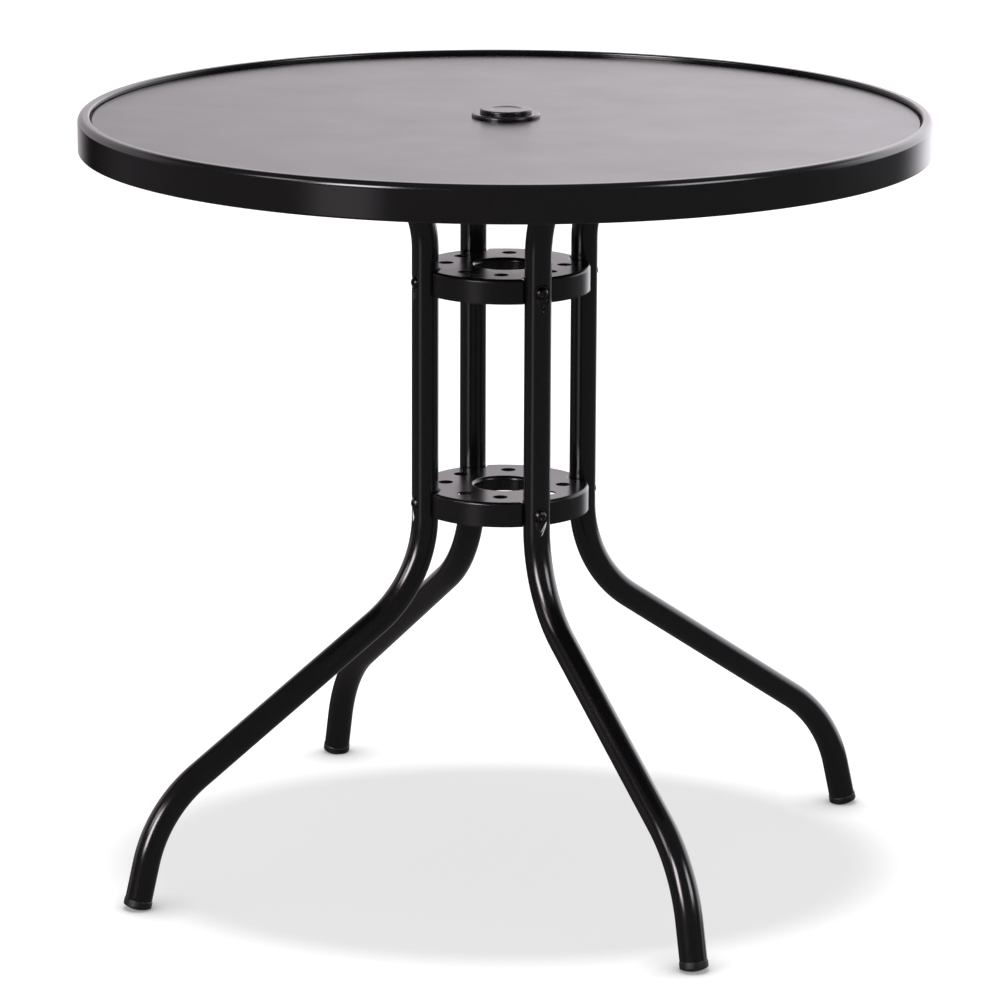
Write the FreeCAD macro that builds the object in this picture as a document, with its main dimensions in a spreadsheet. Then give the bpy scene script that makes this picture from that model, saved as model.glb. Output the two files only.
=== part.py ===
"""Umbrella table: a glass top in a rolled steel rim, on four bent tube legs.

Four tubes stand round the umbrella pole as an open column. Each bends outwards at the top, where
it carries the rim, and at the bottom, where it ends in a foot cap. Two pressed steel dishes tie
the column together, and their drawn collars guide the pole. Millimetres, +Z up, origin on the
floor in the middle of the column.
"""
import FreeCAD, Part
import math
import os
import re

import Sketcher

V = FreeCAD.Vector

# Driving sizes, in millimetres and degrees
SIZES = {
    # Rolled steel rim
    "table_height": 727.5,         # floor to the top of the rim's lip
    "rim_radius": 400.0,           # to the outside of the band
    "rim_depth": 34.2,             # lip to the band's lower edge
    "rim_sheet": 1.2,
    "lip_width": 11.5,             # the strip is rolled over the top
    "lip_radius": 5.0,             # outer corner of the lip
    "lip_fold": 1.8,               # inner corner, down to the glass
    "hem_width": 7.0,              # the band's lower edge turns inwards
    "hem_radius": 2.0,
    "ledge_width": 16.0,           # shelf under the glass, inside the lip

    # Glass and its gasket
    "glass_setback": 4.8,          # lip down to the glass
    "glass_thickness": 5.0,
    "glass_arris": 0.8,            # ground edge
    "gasket_sheet": 1.0,
    "glass_play": 0.4,             # round the glass, inside the gasket

    # Grommet, its lock ring and its cap
    "pole_hole_radius": 21.0,      # through the grommet's sleeve
    "sleeve_wall": 2.4,
    "sleeve_play": 0.6,            # between sleeve and glass
    "sleeve_length": 17.0,         # below the glass
    "flange_radius": 32.2,
    "flange_thickness": 3.4,
    "flange_edge": 1.8,
    "flange_margin": 0.5,          # flange to the part of the pane that things stand on
    "lock_ring_radius": 30.5,
    "lock_ring_thickness": 4.5,
    "lock_ring_lug": 2.5,
    "lock_ring_play": 0.15,
    "cap_head_radius": 24.3,
    "cap_head_height": 4.2,
    "cap_edge": 1.4,
    "cap_wall": 2.2,
    "cap_dish_radius": 14.0,
    "cap_dish_depth": 1.0,
    "cap_play": 0.4,               # between plug and sleeve
    "cap_plug_length": 15.0,
    "cap_leg_gap": 20.0,           # between the plug's legs
    "cap_notch_width": 11.0,
    "cap_notch_depth": 2.6,
    "cap_notch_height": 1.9,
    "cap_notch_angle": -94.0,      # where the thumb notch points

    # Leg tube
    "tube_radius": 12.7,
    "tube_wall": 1.2,
    "column_radius": 81.0,         # pole axis to the middle of each tube
    "leg_skew": 1.3,               # degrees that a leg's plane is turned, about the arm's bolt
    "arm_drop": 27.5,              # lip down to the middle of the arm
    "arm_bend_radius": 98.0,
    "knee_bend_radius": 121.0,
    "ankle_bend_radius": 131.0,
    "ankle_rise": 94.6,            # floor to the ankle's corner, along the last run
    "foot_angle": 13.6,            # of the last run, from vertical
    "foot_inset": 16.0,            # band's outside to where that run meets the floor

    # Pressed end of the arm
    "tab_thickness": 4.0,
    "tab_width": 35.0,
    "tab_length": 34.0,
    "tab_margin": 13.0,            # rim's wall to the tab's end
    "press_length": 24.0,          # round tube to flat tab
    "press_split": 15.5,           # degrees of the tube that become the tab's edge

    # Pressed steel hubs
    "upper_hub_height": 582.5,
    "lower_hub_height": 369.5,
    "hub_inset": 0.6,              # hub's edge inside the tubes' middles
    "hub_depth": 23.5,
    "hub_sheet": 1.5,
    "hub_edge": 3.2,
    "hub_seat_play": 0.1,
    "hub_seat_edge": 2.6,
    "collar_radius": 28.5,
    "collar_edge": 3.6,
    "collar_length": 14.0,
    "hub_hole_radius": 7.0,
    "hub_hole_circle": 56.0,
    "hub_hole_angle": 19.0,        # either side of midway between legs

    # Bolts through tube and hub
    "bolt_radius": 3.0,
    "bolt_play": 0.3,
    "bolt_tail": 1.5,              # shank past the nut
    "button_radius": 6.0,
    "button_height": 3.3,
    "button_crown": 2.9,           # flat of the head round its socket
    "socket_size": 4.0,
    "socket_depth": 1.9,
    "washer_radius": 6.4,
    "washer_thickness": 1.4,
    "nut_size": 10.0,
    "nut_height": 5.0,
    "hex_head_height": 4.2,
    "thread_play": 0.05,

    # Dents pressed in the tubes round the bolts
    "dent_depth": 2.7,
    "dent_run_out": 2.0,           # the press tool stands this far outside the tube
    "dent_radius": 10.6,
    "dent_tip": 22.0,
    "dent_taper": 35.0,

    # Brackets welded inside the rim
    "bracket_width": 38.0,
    "bracket_sheet": 3.0,
    "bracket_reach": 42.0,
    "bracket_height": 12.0,
    "bracket_corner": 8.0,
    "bracket_bend": 4.0,
    "bracket_seat": 0.1,
    "bolt_margin": 26.0,           # rim's wall to the arm's bolt

    # Foot caps
    "foot_cap_radius": 13.3,
    "foot_cap_height": 9.6,        # floor to the tube's end, along the tube
    "foot_dome_radius": 26.0,
    "foot_sole_cut": 0.8,          # the dome's crown, cut off where the cap stands
    "foot_edge": 1.2,
    "foot_stem_length": 22.0,
    "foot_stem_play": 0.2,
    "foot_stem_lead": 2.0,
}

# Sizes that follow from them
FORMULAS = {
    "band_bottom": "table_height - rim_depth",
    "lip_inside": "rim_radius - lip_width",
    "band_inside": "rim_radius - rim_sheet",
    "glass_top": "table_height - glass_setback",
    "glass_bottom": "glass_top - glass_thickness",
    "ledge_top": "glass_bottom - gasket_sheet",
    "ledge_inside": "lip_inside - ledge_width",
    "glass_radius": "lip_inside - gasket_sheet - glass_play",
    "sleeve_radius": "pole_hole_radius + sleeve_wall",
    "glass_hole_radius": "sleeve_radius + sleeve_play",
    "flange_top": "glass_top + flange_thickness",
    "cap_top": "flange_top + cap_head_height",
    "plug_radius": "pole_hole_radius - cap_play",
    "bore_radius": "tube_radius - tube_wall",
    "arm_height": "table_height - arm_drop",
    "arm_end": "band_inside - tab_margin",
    "tab_start": "arm_end - tab_length",
    "press_start": "tab_start - press_length",
    "arm_bolt_radius": "band_inside - bolt_margin",
    # A leg is drawn in its own plane. That plane turns about the arm's bolt, which moves the
    # column sideways round the pole, and the hubs are turned to meet it.
    "column_reach": "arm_bolt_radius * cos(leg_skew)"
                    " - sqrt(column_radius^2 - (arm_bolt_radius * sin(leg_skew))^2)",
    "column_x": "arm_bolt_radius - column_reach",
    "column_turn": "asin(column_reach * sin(leg_skew) / column_radius) / 1 deg",
    "dent_turn": "-(column_turn + leg_skew)",
    "arm_bend_top": "column_x + arm_bend_radius",
    "arm_bend_bottom": "arm_height - arm_bend_radius",
    "foot_radius": "rim_radius - foot_inset",
    "ankle_x": "foot_radius - ankle_rise * sin(foot_angle)",
    "ankle_z": "ankle_rise * cos(foot_angle)",
    "knee_top": "lower_hub_height - hub_depth",
    "knee_run": "ankle_x - column_x - knee_bend_radius",
    "knee_fall": "knee_top - ankle_z",
    # The sloping run touches the knee bend and points at the ankle's corner
    "slope_angle": "(atan(knee_run / knee_fall)"
                   " + asin(knee_bend_radius / sqrt(knee_run^2 + knee_fall^2))) / 1 deg",
    "knee_end_x": "column_x + knee_bend_radius * (1 - cos(slope_angle))",
    "knee_end_z": "knee_top - knee_bend_radius * sin(slope_angle)",
    "ankle_setback": "ankle_bend_radius * tan((slope_angle - foot_angle) / 2)",
    "ankle_start_x": "ankle_x - ankle_setback * sin(slope_angle)",
    "ankle_start_z": "ankle_z + ankle_setback * cos(slope_angle)",
    "ankle_end_x": "ankle_x + ankle_setback * sin(foot_angle)",
    "ankle_end_z": "ankle_z - ankle_setback * cos(foot_angle)",
    "tube_end_x": "foot_radius - foot_cap_height * sin(foot_angle)",
    "tube_end_z": "foot_cap_height * cos(foot_angle)",
    "hub_radius": "column_radius - hub_inset",
    "hub_seat_radius": "tube_radius + hub_seat_play",
    "hub_seat_inside": "column_radius - hub_seat_radius - hub_sheet",
    "dent_floor": "column_radius + tube_radius - dent_depth",
    "dent_reach": "tube_radius + dent_run_out",
    "bolt_drop": "hub_depth / 2",
    "upper_bolt_height": "upper_hub_height - bolt_drop",
    "lower_bolt_height": "lower_hub_height - bolt_drop",
    "nut_face": "hub_seat_inside - washer_thickness",
    "bolt_end": "nut_face - nut_height - bolt_tail",
    "tab_top": "arm_height + tab_thickness / 2",
    "tab_bottom": "arm_height - tab_thickness / 2",
    "bracket_back": "sqrt(band_inside^2 - bracket_width^2 / 4) - bracket_seat",
    "bracket_top": "tab_top + bracket_sheet",
    "arm_bolt_end": "bracket_top + washer_thickness + nut_height + bolt_tail",
}

LEGS = {"front_right": -45, "back_right": 45, "back_left": 135, "front_left": 225}
QUARTERS = 4
RIM_ARCS = 8

doc = FreeCAD.newDocument("umbrella_table")
sheet = doc.addObject("Spreadsheet::Sheet", "Sizes")
CELLS = {name: str(size) for name, size in SIZES.items()}
CELLS.update({name: "=" + formula for name, formula in FORMULAS.items()})
for row, (name, text) in enumerate(CELLS.items(), start=1):
    sheet.set(f"A{row}", name)
    sheet.set(f"B{row}", text)
    sheet.setAlias(f"B{row}", name)
doc.recompute()


def bound(text):
    """Point each size named in a formula at its cell."""
    return re.sub(r"[a-z]\w+", lambda word: "Sizes." + word[0] if word[0] in CELLS else word[0], text)


def number(text):
    """Work a formula out, so that geometry is drawn where its constraints will hold it."""
    return float(sheet.evalExpression(bound(text)))


def bind(item, prop, text):
    """Let a formula of named sizes drive one property."""
    item.setExpression(prop, bound(text))


def plane_of(body, role):
    return next(item for item in body.Origin.OriginFeatures if item.Role == role)


def new_body(label, group=False):
    """Open a body. A group holds several separate solids."""
    body = doc.addObject("PartDesign::Body", label)
    body.Label = label
    body.AllowCompound = group
    return body


def sketch_on(body, name, role, **offsets):
    """Open a sketch on one of the body's own planes, moved by formulas in x, y or z."""
    sketch = body.newObject("Sketcher::SketchObject", name)
    sketch.AttachmentSupport = (plane_of(body, role), [""])
    sketch.MapMode = "FlatFace"
    for axis, text in offsets.items():
        bind(sketch, "AttachmentOffset.Base." + axis, text)
    return sketch


def hold(sketch, kind, *where, text):
    """Add one dimension and bind it to its formula."""
    index = sketch.addConstraint(Sketcher.Constraint(kind, *where, number(text)))
    bind(sketch, f"Constraints[{index}]", text)


def arc_between(start, end, radius, turn):
    """Return the arc of under half a circle from start to end, turning left or right."""
    chord = end - start
    side = V(-chord.y, chord.x, 0).normalize() * (1 if turn == "left" else -1)
    rise = math.sqrt(max(radius ** 2 - (chord.Length / 2) ** 2, 0))
    centre = (start + end) / 2 + side * rise
    first, last = (start, end) if turn == "left" else (end, start)
    angles = [math.atan2(point.y - centre.y, point.x - centre.x) for point in (first, last)]
    return Part.ArcOfCircle(Part.Circle(centre, V(0, 0, 1), radius), *angles)


def outline(sketch, points, closed=True):
    """Draw lines and arcs through points whose x and y are formulas.

    A point may add a turn, left or right, and a radius: the stretch that leaves it is an arc.
    """
    places = [V(number(point[0]), number(point[1]), 0) for point in points]
    count = len(points) if closed else len(points) - 1
    ends = []
    for index in range(count):
        start, end = places[index], places[(index + 1) % len(points)]
        if len(points[index]) == 2:
            edge = sketch.addGeometry(Part.LineSegment(start, end), False)
            ends.append(((edge, 1), (edge, 2)))
            continue
        turn, radius = points[index][2:]
        edge = sketch.addGeometry(arc_between(start, end, number(radius), turn), False)
        ends.append(((edge, 1), (edge, 2)) if turn == "left" else ((edge, 2), (edge, 1)))
        hold(sketch, "Radius", edge, text=radius)
    for index, (first, last) in enumerate(ends):
        hold(sketch, "DistanceX", -1, 1, *first, text=points[index][0])
        hold(sketch, "DistanceY", -1, 1, *first, text=points[index][1])
        if index + 1 < count or closed:
            following = ends[(index + 1) % count][0]
            sketch.addConstraint(Sketcher.Constraint("Coincident", *last, *following))
    if not closed:
        hold(sketch, "DistanceX", -1, 1, *ends[-1][1], text=points[-1][0])
        hold(sketch, "DistanceY", -1, 1, *ends[-1][1], text=points[-1][1])


def circle(sketch, x, y, radius):
    """Draw a circle whose centre and radius are formulas."""
    edge = sketch.addGeometry(Part.Circle(V(number(x), number(y), 0), V(0, 0, 1), number(radius)), False)
    hold(sketch, "DistanceX", -1, 1, edge, 3, text=x)
    hold(sketch, "DistanceY", -1, 1, edge, 3, text=y)
    hold(sketch, "Radius", edge, text=radius)


def rectangle(sketch, left, bottom, right, top):
    outline(sketch, [(left, bottom), (right, bottom), (right, top), (left, top)])


def hexagon(sketch, x, y, size):
    """Draw a hexagon by its size across flats."""
    corners = [f"{size} / sqrt(3) * {{}}({60 * corner + 30})" for corner in range(6)]
    outline(sketch, [(f"{x} + " + text.format("cos"), f"{y} + " + text.format("sin")) for text in corners])


def feature(body, kind, name, profile=None, **bindings):
    """Add a feature whose sizes are formulas."""
    item = body.newObject("PartDesign::" + kind, name)
    if profile is not None:
        item.Profile = profile
    for prop, text in bindings.items():
        bind(item, prop, text)
    return item


def revolve(body, name, sketch, axis="V_Axis", angle=360):
    turned = feature(body, "Revolution", name, sketch)
    turned.ReferenceAxis = (sketch, [axis])
    turned.Angle = angle
    return turned


def cut_through(body, name, sketch):
    """Cut a sketch through everything, both ways."""
    cut = feature(body, "Pocket", name, sketch)
    cut.Type = "ThroughAll"
    cut.SideType = "Symmetric"
    return cut


def repeat(body, name, originals, count=QUARTERS):
    """Repeat features evenly round the body's upright axis."""
    pattern = body.newObject("PartDesign::PolarPattern", name)
    pattern.Originals = originals
    pattern.Axis = (plane_of(body, "Z_Axis"), [""])
    pattern.Angle = 360
    pattern.Occurrences = count
    body.Tip = pattern
    doc.recompute()
    return pattern


def fillet(body, name, base, chosen, radius):
    """Round the edges of a feature that a test on the edge picks out."""
    doc.recompute()
    edges = [f"Edge{index}" for index, edge in enumerate(base.Shape.Edges, start=1) if chosen(edge)]
    rounded = body.newObject("PartDesign::Fillet", name)
    rounded.Base = (base, edges)
    bind(rounded, "Radius", radius)
    doc.recompute()
    return rounded


def is_level(edge, height):
    """Tell whether an edge lies at one height."""
    return abs(edge.BoundBox.ZMin - height) < 0.01 and abs(edge.BoundBox.ZMax - height) < 0.01


def is_upright(edge):
    """Tell whether an edge is a straight upright line."""
    return edge.BoundBox.XLength < 0.01 and edge.BoundBox.YLength < 0.01 and edge.BoundBox.ZLength > 0.01


def reach(edge):
    """Distance from the upright axis to the edge's first corner."""
    corner = edge.Vertexes[0].Point
    return math.hypot(corner.x, corner.y)


def turn_about_pole(item, angle):
    item.Placement = FreeCAD.Placement(V(0, 0, 0), FreeCAD.Rotation(V(0, 0, 1), angle))


def turn_with_hubs(item):
    """Turn what is repeated round the pole so that it meets the four columns."""
    turn_about_pole(item, LEGS["back_right"] - number("column_turn"))


def turn_with_leg(item, angle):
    """Turn a leg's piece to its corner, askew about the arm's bolt."""
    bolt = V(number("arm_bolt_radius"), 0, 0)
    askew = FreeCAD.Placement(V(0, 0, 0), FreeCAD.Rotation(V(0, 0, 1), number("leg_skew")), bolt)
    corner = FreeCAD.Placement(V(0, 0, 0), FreeCAD.Rotation(V(0, 0, 1), angle))
    item.Placement = corner.multiply(askew)


def top_rim():
    """Steel strip rolled to a band with a rounded lip and a turned-in lower edge.

    The hoop is joined from equal arcs, so that a mesh divides its inner and outer faces alike and
    keeps the sheet's thickness.
    """
    body = new_body("top_rim")
    section = sketch_on(body, "rim_section", "XZ_Plane")
    outline(section, [
        ("rim_radius - hem_width", "band_bottom"),
        ("rim_radius - hem_radius", "band_bottom", "left", "hem_radius"),
        ("rim_radius", "band_bottom + hem_radius"),
        ("rim_radius", "table_height - lip_radius", "left", "lip_radius"),
        ("rim_radius - lip_radius", "table_height"),
        ("lip_inside + lip_fold", "table_height", "left", "lip_fold"),
        ("lip_inside", "table_height - lip_fold"),
        ("lip_inside", "ledge_top"),
        ("lip_inside + rim_sheet", "ledge_top"),
        ("lip_inside + rim_sheet", "table_height - lip_fold", "right", "lip_fold - rim_sheet"),
        ("lip_inside + lip_fold", "table_height - rim_sheet"),
        ("rim_radius - lip_radius", "table_height - rim_sheet", "right", "lip_radius - rim_sheet"),
        ("band_inside", "table_height - lip_radius"),
        ("band_inside", "band_bottom + hem_radius", "right", "hem_radius - rim_sheet"),
        ("rim_radius - hem_radius", "band_bottom + rim_sheet"),
        ("rim_radius - hem_width", "band_bottom + rim_sheet"),
    ])
    arc = revolve(body, "rolled_arc", section, angle=360 / RIM_ARCS)
    repeat(body, "rolled_rim", [arc], RIM_ARCS).Refine = False
    return body


def glass_ledge():
    """Flat ring welded inside the band and under the lip, which the glass lies on."""
    body = new_body("glass_ledge")
    section = sketch_on(body, "ledge_section", "XZ_Plane")
    rectangle(section, "ledge_inside", "ledge_top - rim_sheet", "band_inside", "ledge_top")
    revolve(body, "flat_ring", section)
    return body


def glass_top():
    """Round tempered pane with ground edges and a hole for the grommet.

    The ring that the grommet's flange covers stays a face of its own, apart from the open surface.
    """
    body = new_body("glass_top")
    section = sketch_on(body, "glass_section", "XZ_Plane")
    outline(section, [
        ("glass_hole_radius", "glass_bottom"),
        ("glass_radius - glass_arris", "glass_bottom"),
        ("glass_radius", "glass_bottom + glass_arris"),
        ("glass_radius", "glass_top - glass_arris"),
        ("glass_radius - glass_arris", "glass_top"),
        ("flange_radius + flange_margin", "glass_top"),
        ("glass_hole_radius + glass_arris", "glass_top"),
        ("glass_hole_radius", "glass_top - glass_arris"),
    ])
    revolve(body, "pane", section).Refine = False
    return body


def glass_gasket():
    """Soft strip of L section between the glass and the rim's ledge and lip."""
    body = new_body("glass_gasket")
    section = sketch_on(body, "gasket_section", "XZ_Plane")
    outline(section, [
        ("ledge_inside", "ledge_top"),
        ("lip_inside", "ledge_top"),
        ("lip_inside", "glass_top - glass_arris"),
        ("lip_inside - gasket_sheet", "glass_top - glass_arris"),
        ("lip_inside - gasket_sheet", "ledge_top + gasket_sheet"),
        ("ledge_inside", "ledge_top + gasket_sheet"),
    ])
    revolve(body, "strip", section)
    return body


def umbrella_grommet():
    """Moulded flange that covers the glass edge, with a sleeve through the glass."""
    body = new_body("umbrella_grommet")
    section = sketch_on(body, "grommet_section", "XZ_Plane")
    outline(section, [
        ("pole_hole_radius", "glass_bottom - sleeve_length"),
        ("sleeve_radius", "glass_bottom - sleeve_length"),
        ("sleeve_radius", "glass_top"),
        ("flange_radius", "glass_top"),
        ("flange_radius", "flange_top - flange_edge", "left", "flange_edge"),
        ("flange_radius - flange_edge", "flange_top"),
        ("pole_hole_radius + flange_edge", "flange_top", "left", "flange_edge"),
        ("pole_hole_radius", "flange_top - flange_edge"),
    ])
    revolve(body, "flanged_sleeve", section)
    return body


def grommet_lock_ring():
    """Ring with finger lugs that holds the grommet from under the glass."""
    body = new_body("grommet_lock_ring")
    section = sketch_on(body, "ring_section", "XZ_Plane")
    rectangle(section, "sleeve_radius + lock_ring_play", "glass_bottom - lock_ring_thickness",
              "lock_ring_radius", "glass_bottom")
    revolve(body, "ring", section)
    lug_sketch = sketch_on(body, "lug_outline", "XY_Plane", z="glass_bottom - lock_ring_thickness")
    circle(lug_sketch, "lock_ring_radius", "0", "lock_ring_lug")
    lug = feature(body, "Pad", "lug", lug_sketch, Length="lock_ring_thickness")
    repeat(body, "lugs", [lug], 2 * QUARTERS)
    return body


def umbrella_cap():
    """Lift-out plug: a dished head on four springy legs, with a thumb notch."""
    body = new_body("umbrella_cap")
    section = sketch_on(body, "cap_section", "XZ_Plane")
    outline(section, [
        ("0", "cap_top - cap_dish_depth"),
        ("0", "cap_top - cap_dish_depth - cap_wall"),
        ("plug_radius - cap_wall", "cap_top - cap_dish_depth - cap_wall"),
        ("plug_radius - cap_wall", "flange_top - cap_plug_length"),
        ("plug_radius", "flange_top - cap_plug_length"),
        ("plug_radius", "flange_top"),
        ("cap_head_radius", "flange_top"),
        ("cap_head_radius", "cap_top - cap_edge", "left", "cap_edge"),
        ("cap_head_radius - cap_edge", "cap_top"),
        ("cap_dish_radius", "cap_top"),
        ("cap_dish_radius - cap_dish_depth", "cap_top - cap_dish_depth"),
    ])
    revolve(body, "head_and_skirt", section)
    gap_sketch = sketch_on(body, "gap_outline", "XZ_Plane")
    rectangle(gap_sketch, "-cap_leg_gap / 2", "flange_top - 2 * cap_plug_length",
              "cap_leg_gap / 2", "flange_top")
    gap = cut_through(body, "leg_gap", gap_sketch)
    legs = repeat(body, "leg_gaps", [gap])
    notch_sketch = sketch_on(body, "notch_outline", "XY_Plane", z="flange_top")
    rectangle(notch_sketch, "cap_head_radius - cap_notch_depth", "-cap_notch_width / 2",
              "cap_head_radius + cap_notch_depth", "cap_notch_width / 2")
    notch = feature(body, "Pocket", "thumb_notch", notch_sketch, Length="cap_notch_height")
    notch.Reversed = True
    body.Tip = notch
    doc.recompute()
    if notch.Shape.Volume >= legs.Shape.Volume:
        raise RuntimeError("the thumb notch cuts nothing")
    turn_about_pole(body, SIZES["cap_notch_angle"])
    return body


def tube_route(sketch):
    """Draw the middle line of a leg from its pressed end down to its foot."""
    outline(sketch, [
        ("press_start", "arm_height"),
        ("arm_bend_top", "arm_height", "left", "arm_bend_radius"),
        ("column_x", "arm_bend_bottom"),
        ("column_x", "knee_top", "left", "knee_bend_radius"),
        ("knee_end_x", "knee_end_z"),
        ("ankle_start_x", "ankle_start_z", "right", "ankle_bend_radius"),
        ("ankle_end_x", "ankle_end_z"),
        ("tube_end_x", "tube_end_z"),
    ], closed=False)


def tube_ring(sketch, radius):
    """Draw the tube's circle as four arcs, split where pressing folds the tab's edges."""
    across = f"{radius} * cos(press_split)"
    up = f"{radius} * sin(press_split)"
    outline(sketch, [
        (across, f"arm_height - {up}", "left", radius),
        (across, f"arm_height + {up}", "left", radius),
        (f"-{across}", f"arm_height + {up}", "left", radius),
        (f"-{across}", f"arm_height - {up}", "left", radius),
    ])


def tube_along_route(body, name, radius):
    """Carry the tube's circle along its route, square to it all the way."""
    route = sketch_on(body, name + "_route", "XZ_Plane")
    tube_route(route)
    ring = sketch_on(body, name + "_ring", "YZ_Plane", z="press_start")
    tube_ring(ring, radius)
    pipe = feature(body, "AdditivePipe", name, ring)
    pipe.Spine = route
    pipe.Mode = "Frenet"
    return ring


def sketch_on_column(body, name, distance):
    """Open a sketch that faces away from the pole, at a distance from the tube's middle."""
    sketch = sketch_on(body, name, "YZ_Plane")
    sketch.AttachmentOffset = FreeCAD.Placement(V(0, 0, 0), FreeCAD.Rotation(V(0, 1, 0), number("dent_turn")))
    bind(sketch, "AttachmentOffset.Rotation.Angle", "dent_turn")
    bind(sketch, "AttachmentOffset.Base.x", f"{distance} * sin(dent_turn)")
    bind(sketch, "AttachmentOffset.Base.z", f"column_x + {distance} * cos(dent_turn)")
    return sketch


def dents(body, name, growth, depth):
    """Press a tapered flat round each bolt, arched above the head and pointed below it."""
    wide = f"(dent_radius + {growth})"
    tip = f"dent_tip * {wide} / dent_radius"
    across = f"{wide} * sqrt(1 - (dent_radius / dent_tip)^2)"
    down = f"{wide} * dent_radius / dent_tip"
    sketch = sketch_on_column(body, name + "_outline", "dent_reach")
    for height in ("upper_bolt_height", "lower_bolt_height"):
        outline(sketch, [
            ("0", f"{height} - {tip}"),
            (across, f"{height} - {down}", "left", wide),
            ("0", f"{height} + {wide}", "left", wide),
            (f"-{across}", f"{height} - {down}"),
        ])
    return feature(body, "Pocket", name, sketch, Length=depth, TaperAngle="-dent_taper")


def leg_tube_form():
    """Outside of a leg: bent tube, pressed tab, dents and bolt holes."""
    body = new_body("leg_tube_form")
    ring = tube_along_route(body, "outside", "tube_radius")
    tab_sketch = sketch_on(body, "tab_section", "YZ_Plane", z="tab_start")
    half = "(tab_width - tab_thickness) / 2"
    # The tab's folded edges turn through half a circle, so each is a little flatter than that
    fold = "tab_thickness * 0.501"
    outline(tab_sketch, [
        (half, "tab_bottom", "left", fold),
        (half, "tab_top"),
        (f"-{half}", "tab_top", "left", fold),
        (f"-{half}", "tab_bottom"),
    ])
    press = feature(body, "AdditiveLoft", "pressed_taper", ring)
    press.Sections = [tab_sketch]
    tab = feature(body, "Pad", "tab", tab_sketch, Length="tab_length")
    doc.recompute()
    pocket = dents(body, "dents", "0", "dent_depth + dent_run_out")
    hole_sketch = sketch_on_column(body, "bolt_holes_outline", "0")
    for height in ("upper_bolt_height", "lower_bolt_height"):
        circle(hole_sketch, "0", height, "bolt_radius + bolt_play")
    holes = feature(body, "Pocket", "bolt_holes", hole_sketch, Length="2 * dent_reach")
    holes.SideType = "Symmetric"
    arm_hole_sketch = sketch_on(body, "arm_hole_outline", "XY_Plane", z="tab_bottom")
    circle(arm_hole_sketch, "arm_bolt_radius", "0", "bolt_radius + bolt_play")
    arm_hole = feature(body, "Pocket", "arm_hole", arm_hole_sketch, Length="tab_thickness")
    arm_hole.Reversed = True
    doc.recompute()
    volumes = [item.Shape.Volume for item in (tab, pocket, holes, arm_hole)]
    print("leg form volumes", [round(volume) for volume in volumes])
    return body


def leg_tube_core():
    """Inside of a leg: the bore, held back behind each dent by the tube's wall."""
    body = new_body("leg_tube_core")
    tube_along_route(body, "bore", "bore_radius")
    dents(body, "dent_backs", "tube_wall", "dent_depth + dent_run_out + tube_wall")
    return body


def leg(name, form, core, angle):
    """Hollow tube leg, turned to its corner."""
    tube = doc.addObject("Part::Cut", name)
    tube.Label = name
    tube.Base = form
    tube.Tool = core
    turn_with_leg(tube, angle)
    return tube


def hub(name, height):
    """Pressed dish, open below, with a seat for each tube and a drawn collar for the pole."""
    body = new_body(name)
    disc_sketch = sketch_on(body, name + "_outline", "XY_Plane", z=height)
    circle(disc_sketch, "0", "0", "hub_radius")
    circle(disc_sketch, "0", "0", "collar_radius")
    disc = feature(body, "Pad", name + "_blank", disc_sketch, Length="hub_depth")
    disc.Reversed = True
    seat_sketch = sketch_on(body, name + "_seat", "XY_Plane", z=height)
    circle(seat_sketch, "column_radius", "0", "hub_seat_radius")
    seat = feature(body, "Pocket", name + "_one_seat", seat_sketch, Length="hub_depth")
    seats = repeat(body, name + "_seats", [seat])
    top, middle = number(height), number("hub_hole_circle")
    corners = fillet(body, name + "_corners", seats,
                     lambda edge: is_upright(edge) and reach(edge) > middle, "hub_seat_edge")
    drawn = fillet(body, name + "_collar_edge", corners,
                   lambda edge: is_level(edge, top) and reach(edge) < middle, "collar_edge")
    rolled = fillet(body, name + "_edges", drawn,
                    lambda edge: is_level(edge, top) and reach(edge) > middle, "hub_edge")
    bottom = top - number("hub_depth")
    shell = body.newObject("PartDesign::Thickness", name + "_sheet")
    under = [f"Face{index}" for index, face in enumerate(rolled.Shape.Faces, start=1)
             if abs(face.BoundBox.ZMax - bottom) < 0.01]
    shell.Base = (rolled, under)
    shell.Reversed = True
    bind(shell, "Value", "hub_sheet")
    trim_sketch = sketch_on(body, name + "_trim", "XZ_Plane")
    rectangle(trim_sketch, "collar_radius - hub_sheet", f"{height} - 2 * hub_depth",
              "collar_radius + 2 * hub_sheet", f"{height} - collar_length")
    trim = feature(body, "Groove", name + "_collar_end", trim_sketch)
    trim.ReferenceAxis = (trim_sketch, ["V_Axis"])
    trim.Angle = 360
    hole_sketch = sketch_on(body, name + "_holes", "XY_Plane", z=height)
    for sign in ("+", "-"):
        circle(hole_sketch, f"hub_hole_circle * cos(45 {sign} hub_hole_angle)",
               f"hub_hole_circle * sin(45 {sign} hub_hole_angle)", "hub_hole_radius")
    pair = feature(body, "Pocket", name + "_hole_pair", hole_sketch, Length="hub_depth")
    bolt_sketch = sketch_on(body, name + "_bolt_outline", "YZ_Plane", z="collar_radius + 2 * hub_sheet")
    circle(bolt_sketch, "0", f"{height} - bolt_drop", "bolt_radius + bolt_play")
    bolt_hole = feature(body, "Pocket", name + "_bolt_hole", bolt_sketch, Length="column_radius")
    bolt_hole.Reversed = True
    doc.recompute()
    repeat(body, name + "_holes_round", [pair, bolt_hole])
    turn_with_hubs(body)
    return body


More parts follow.
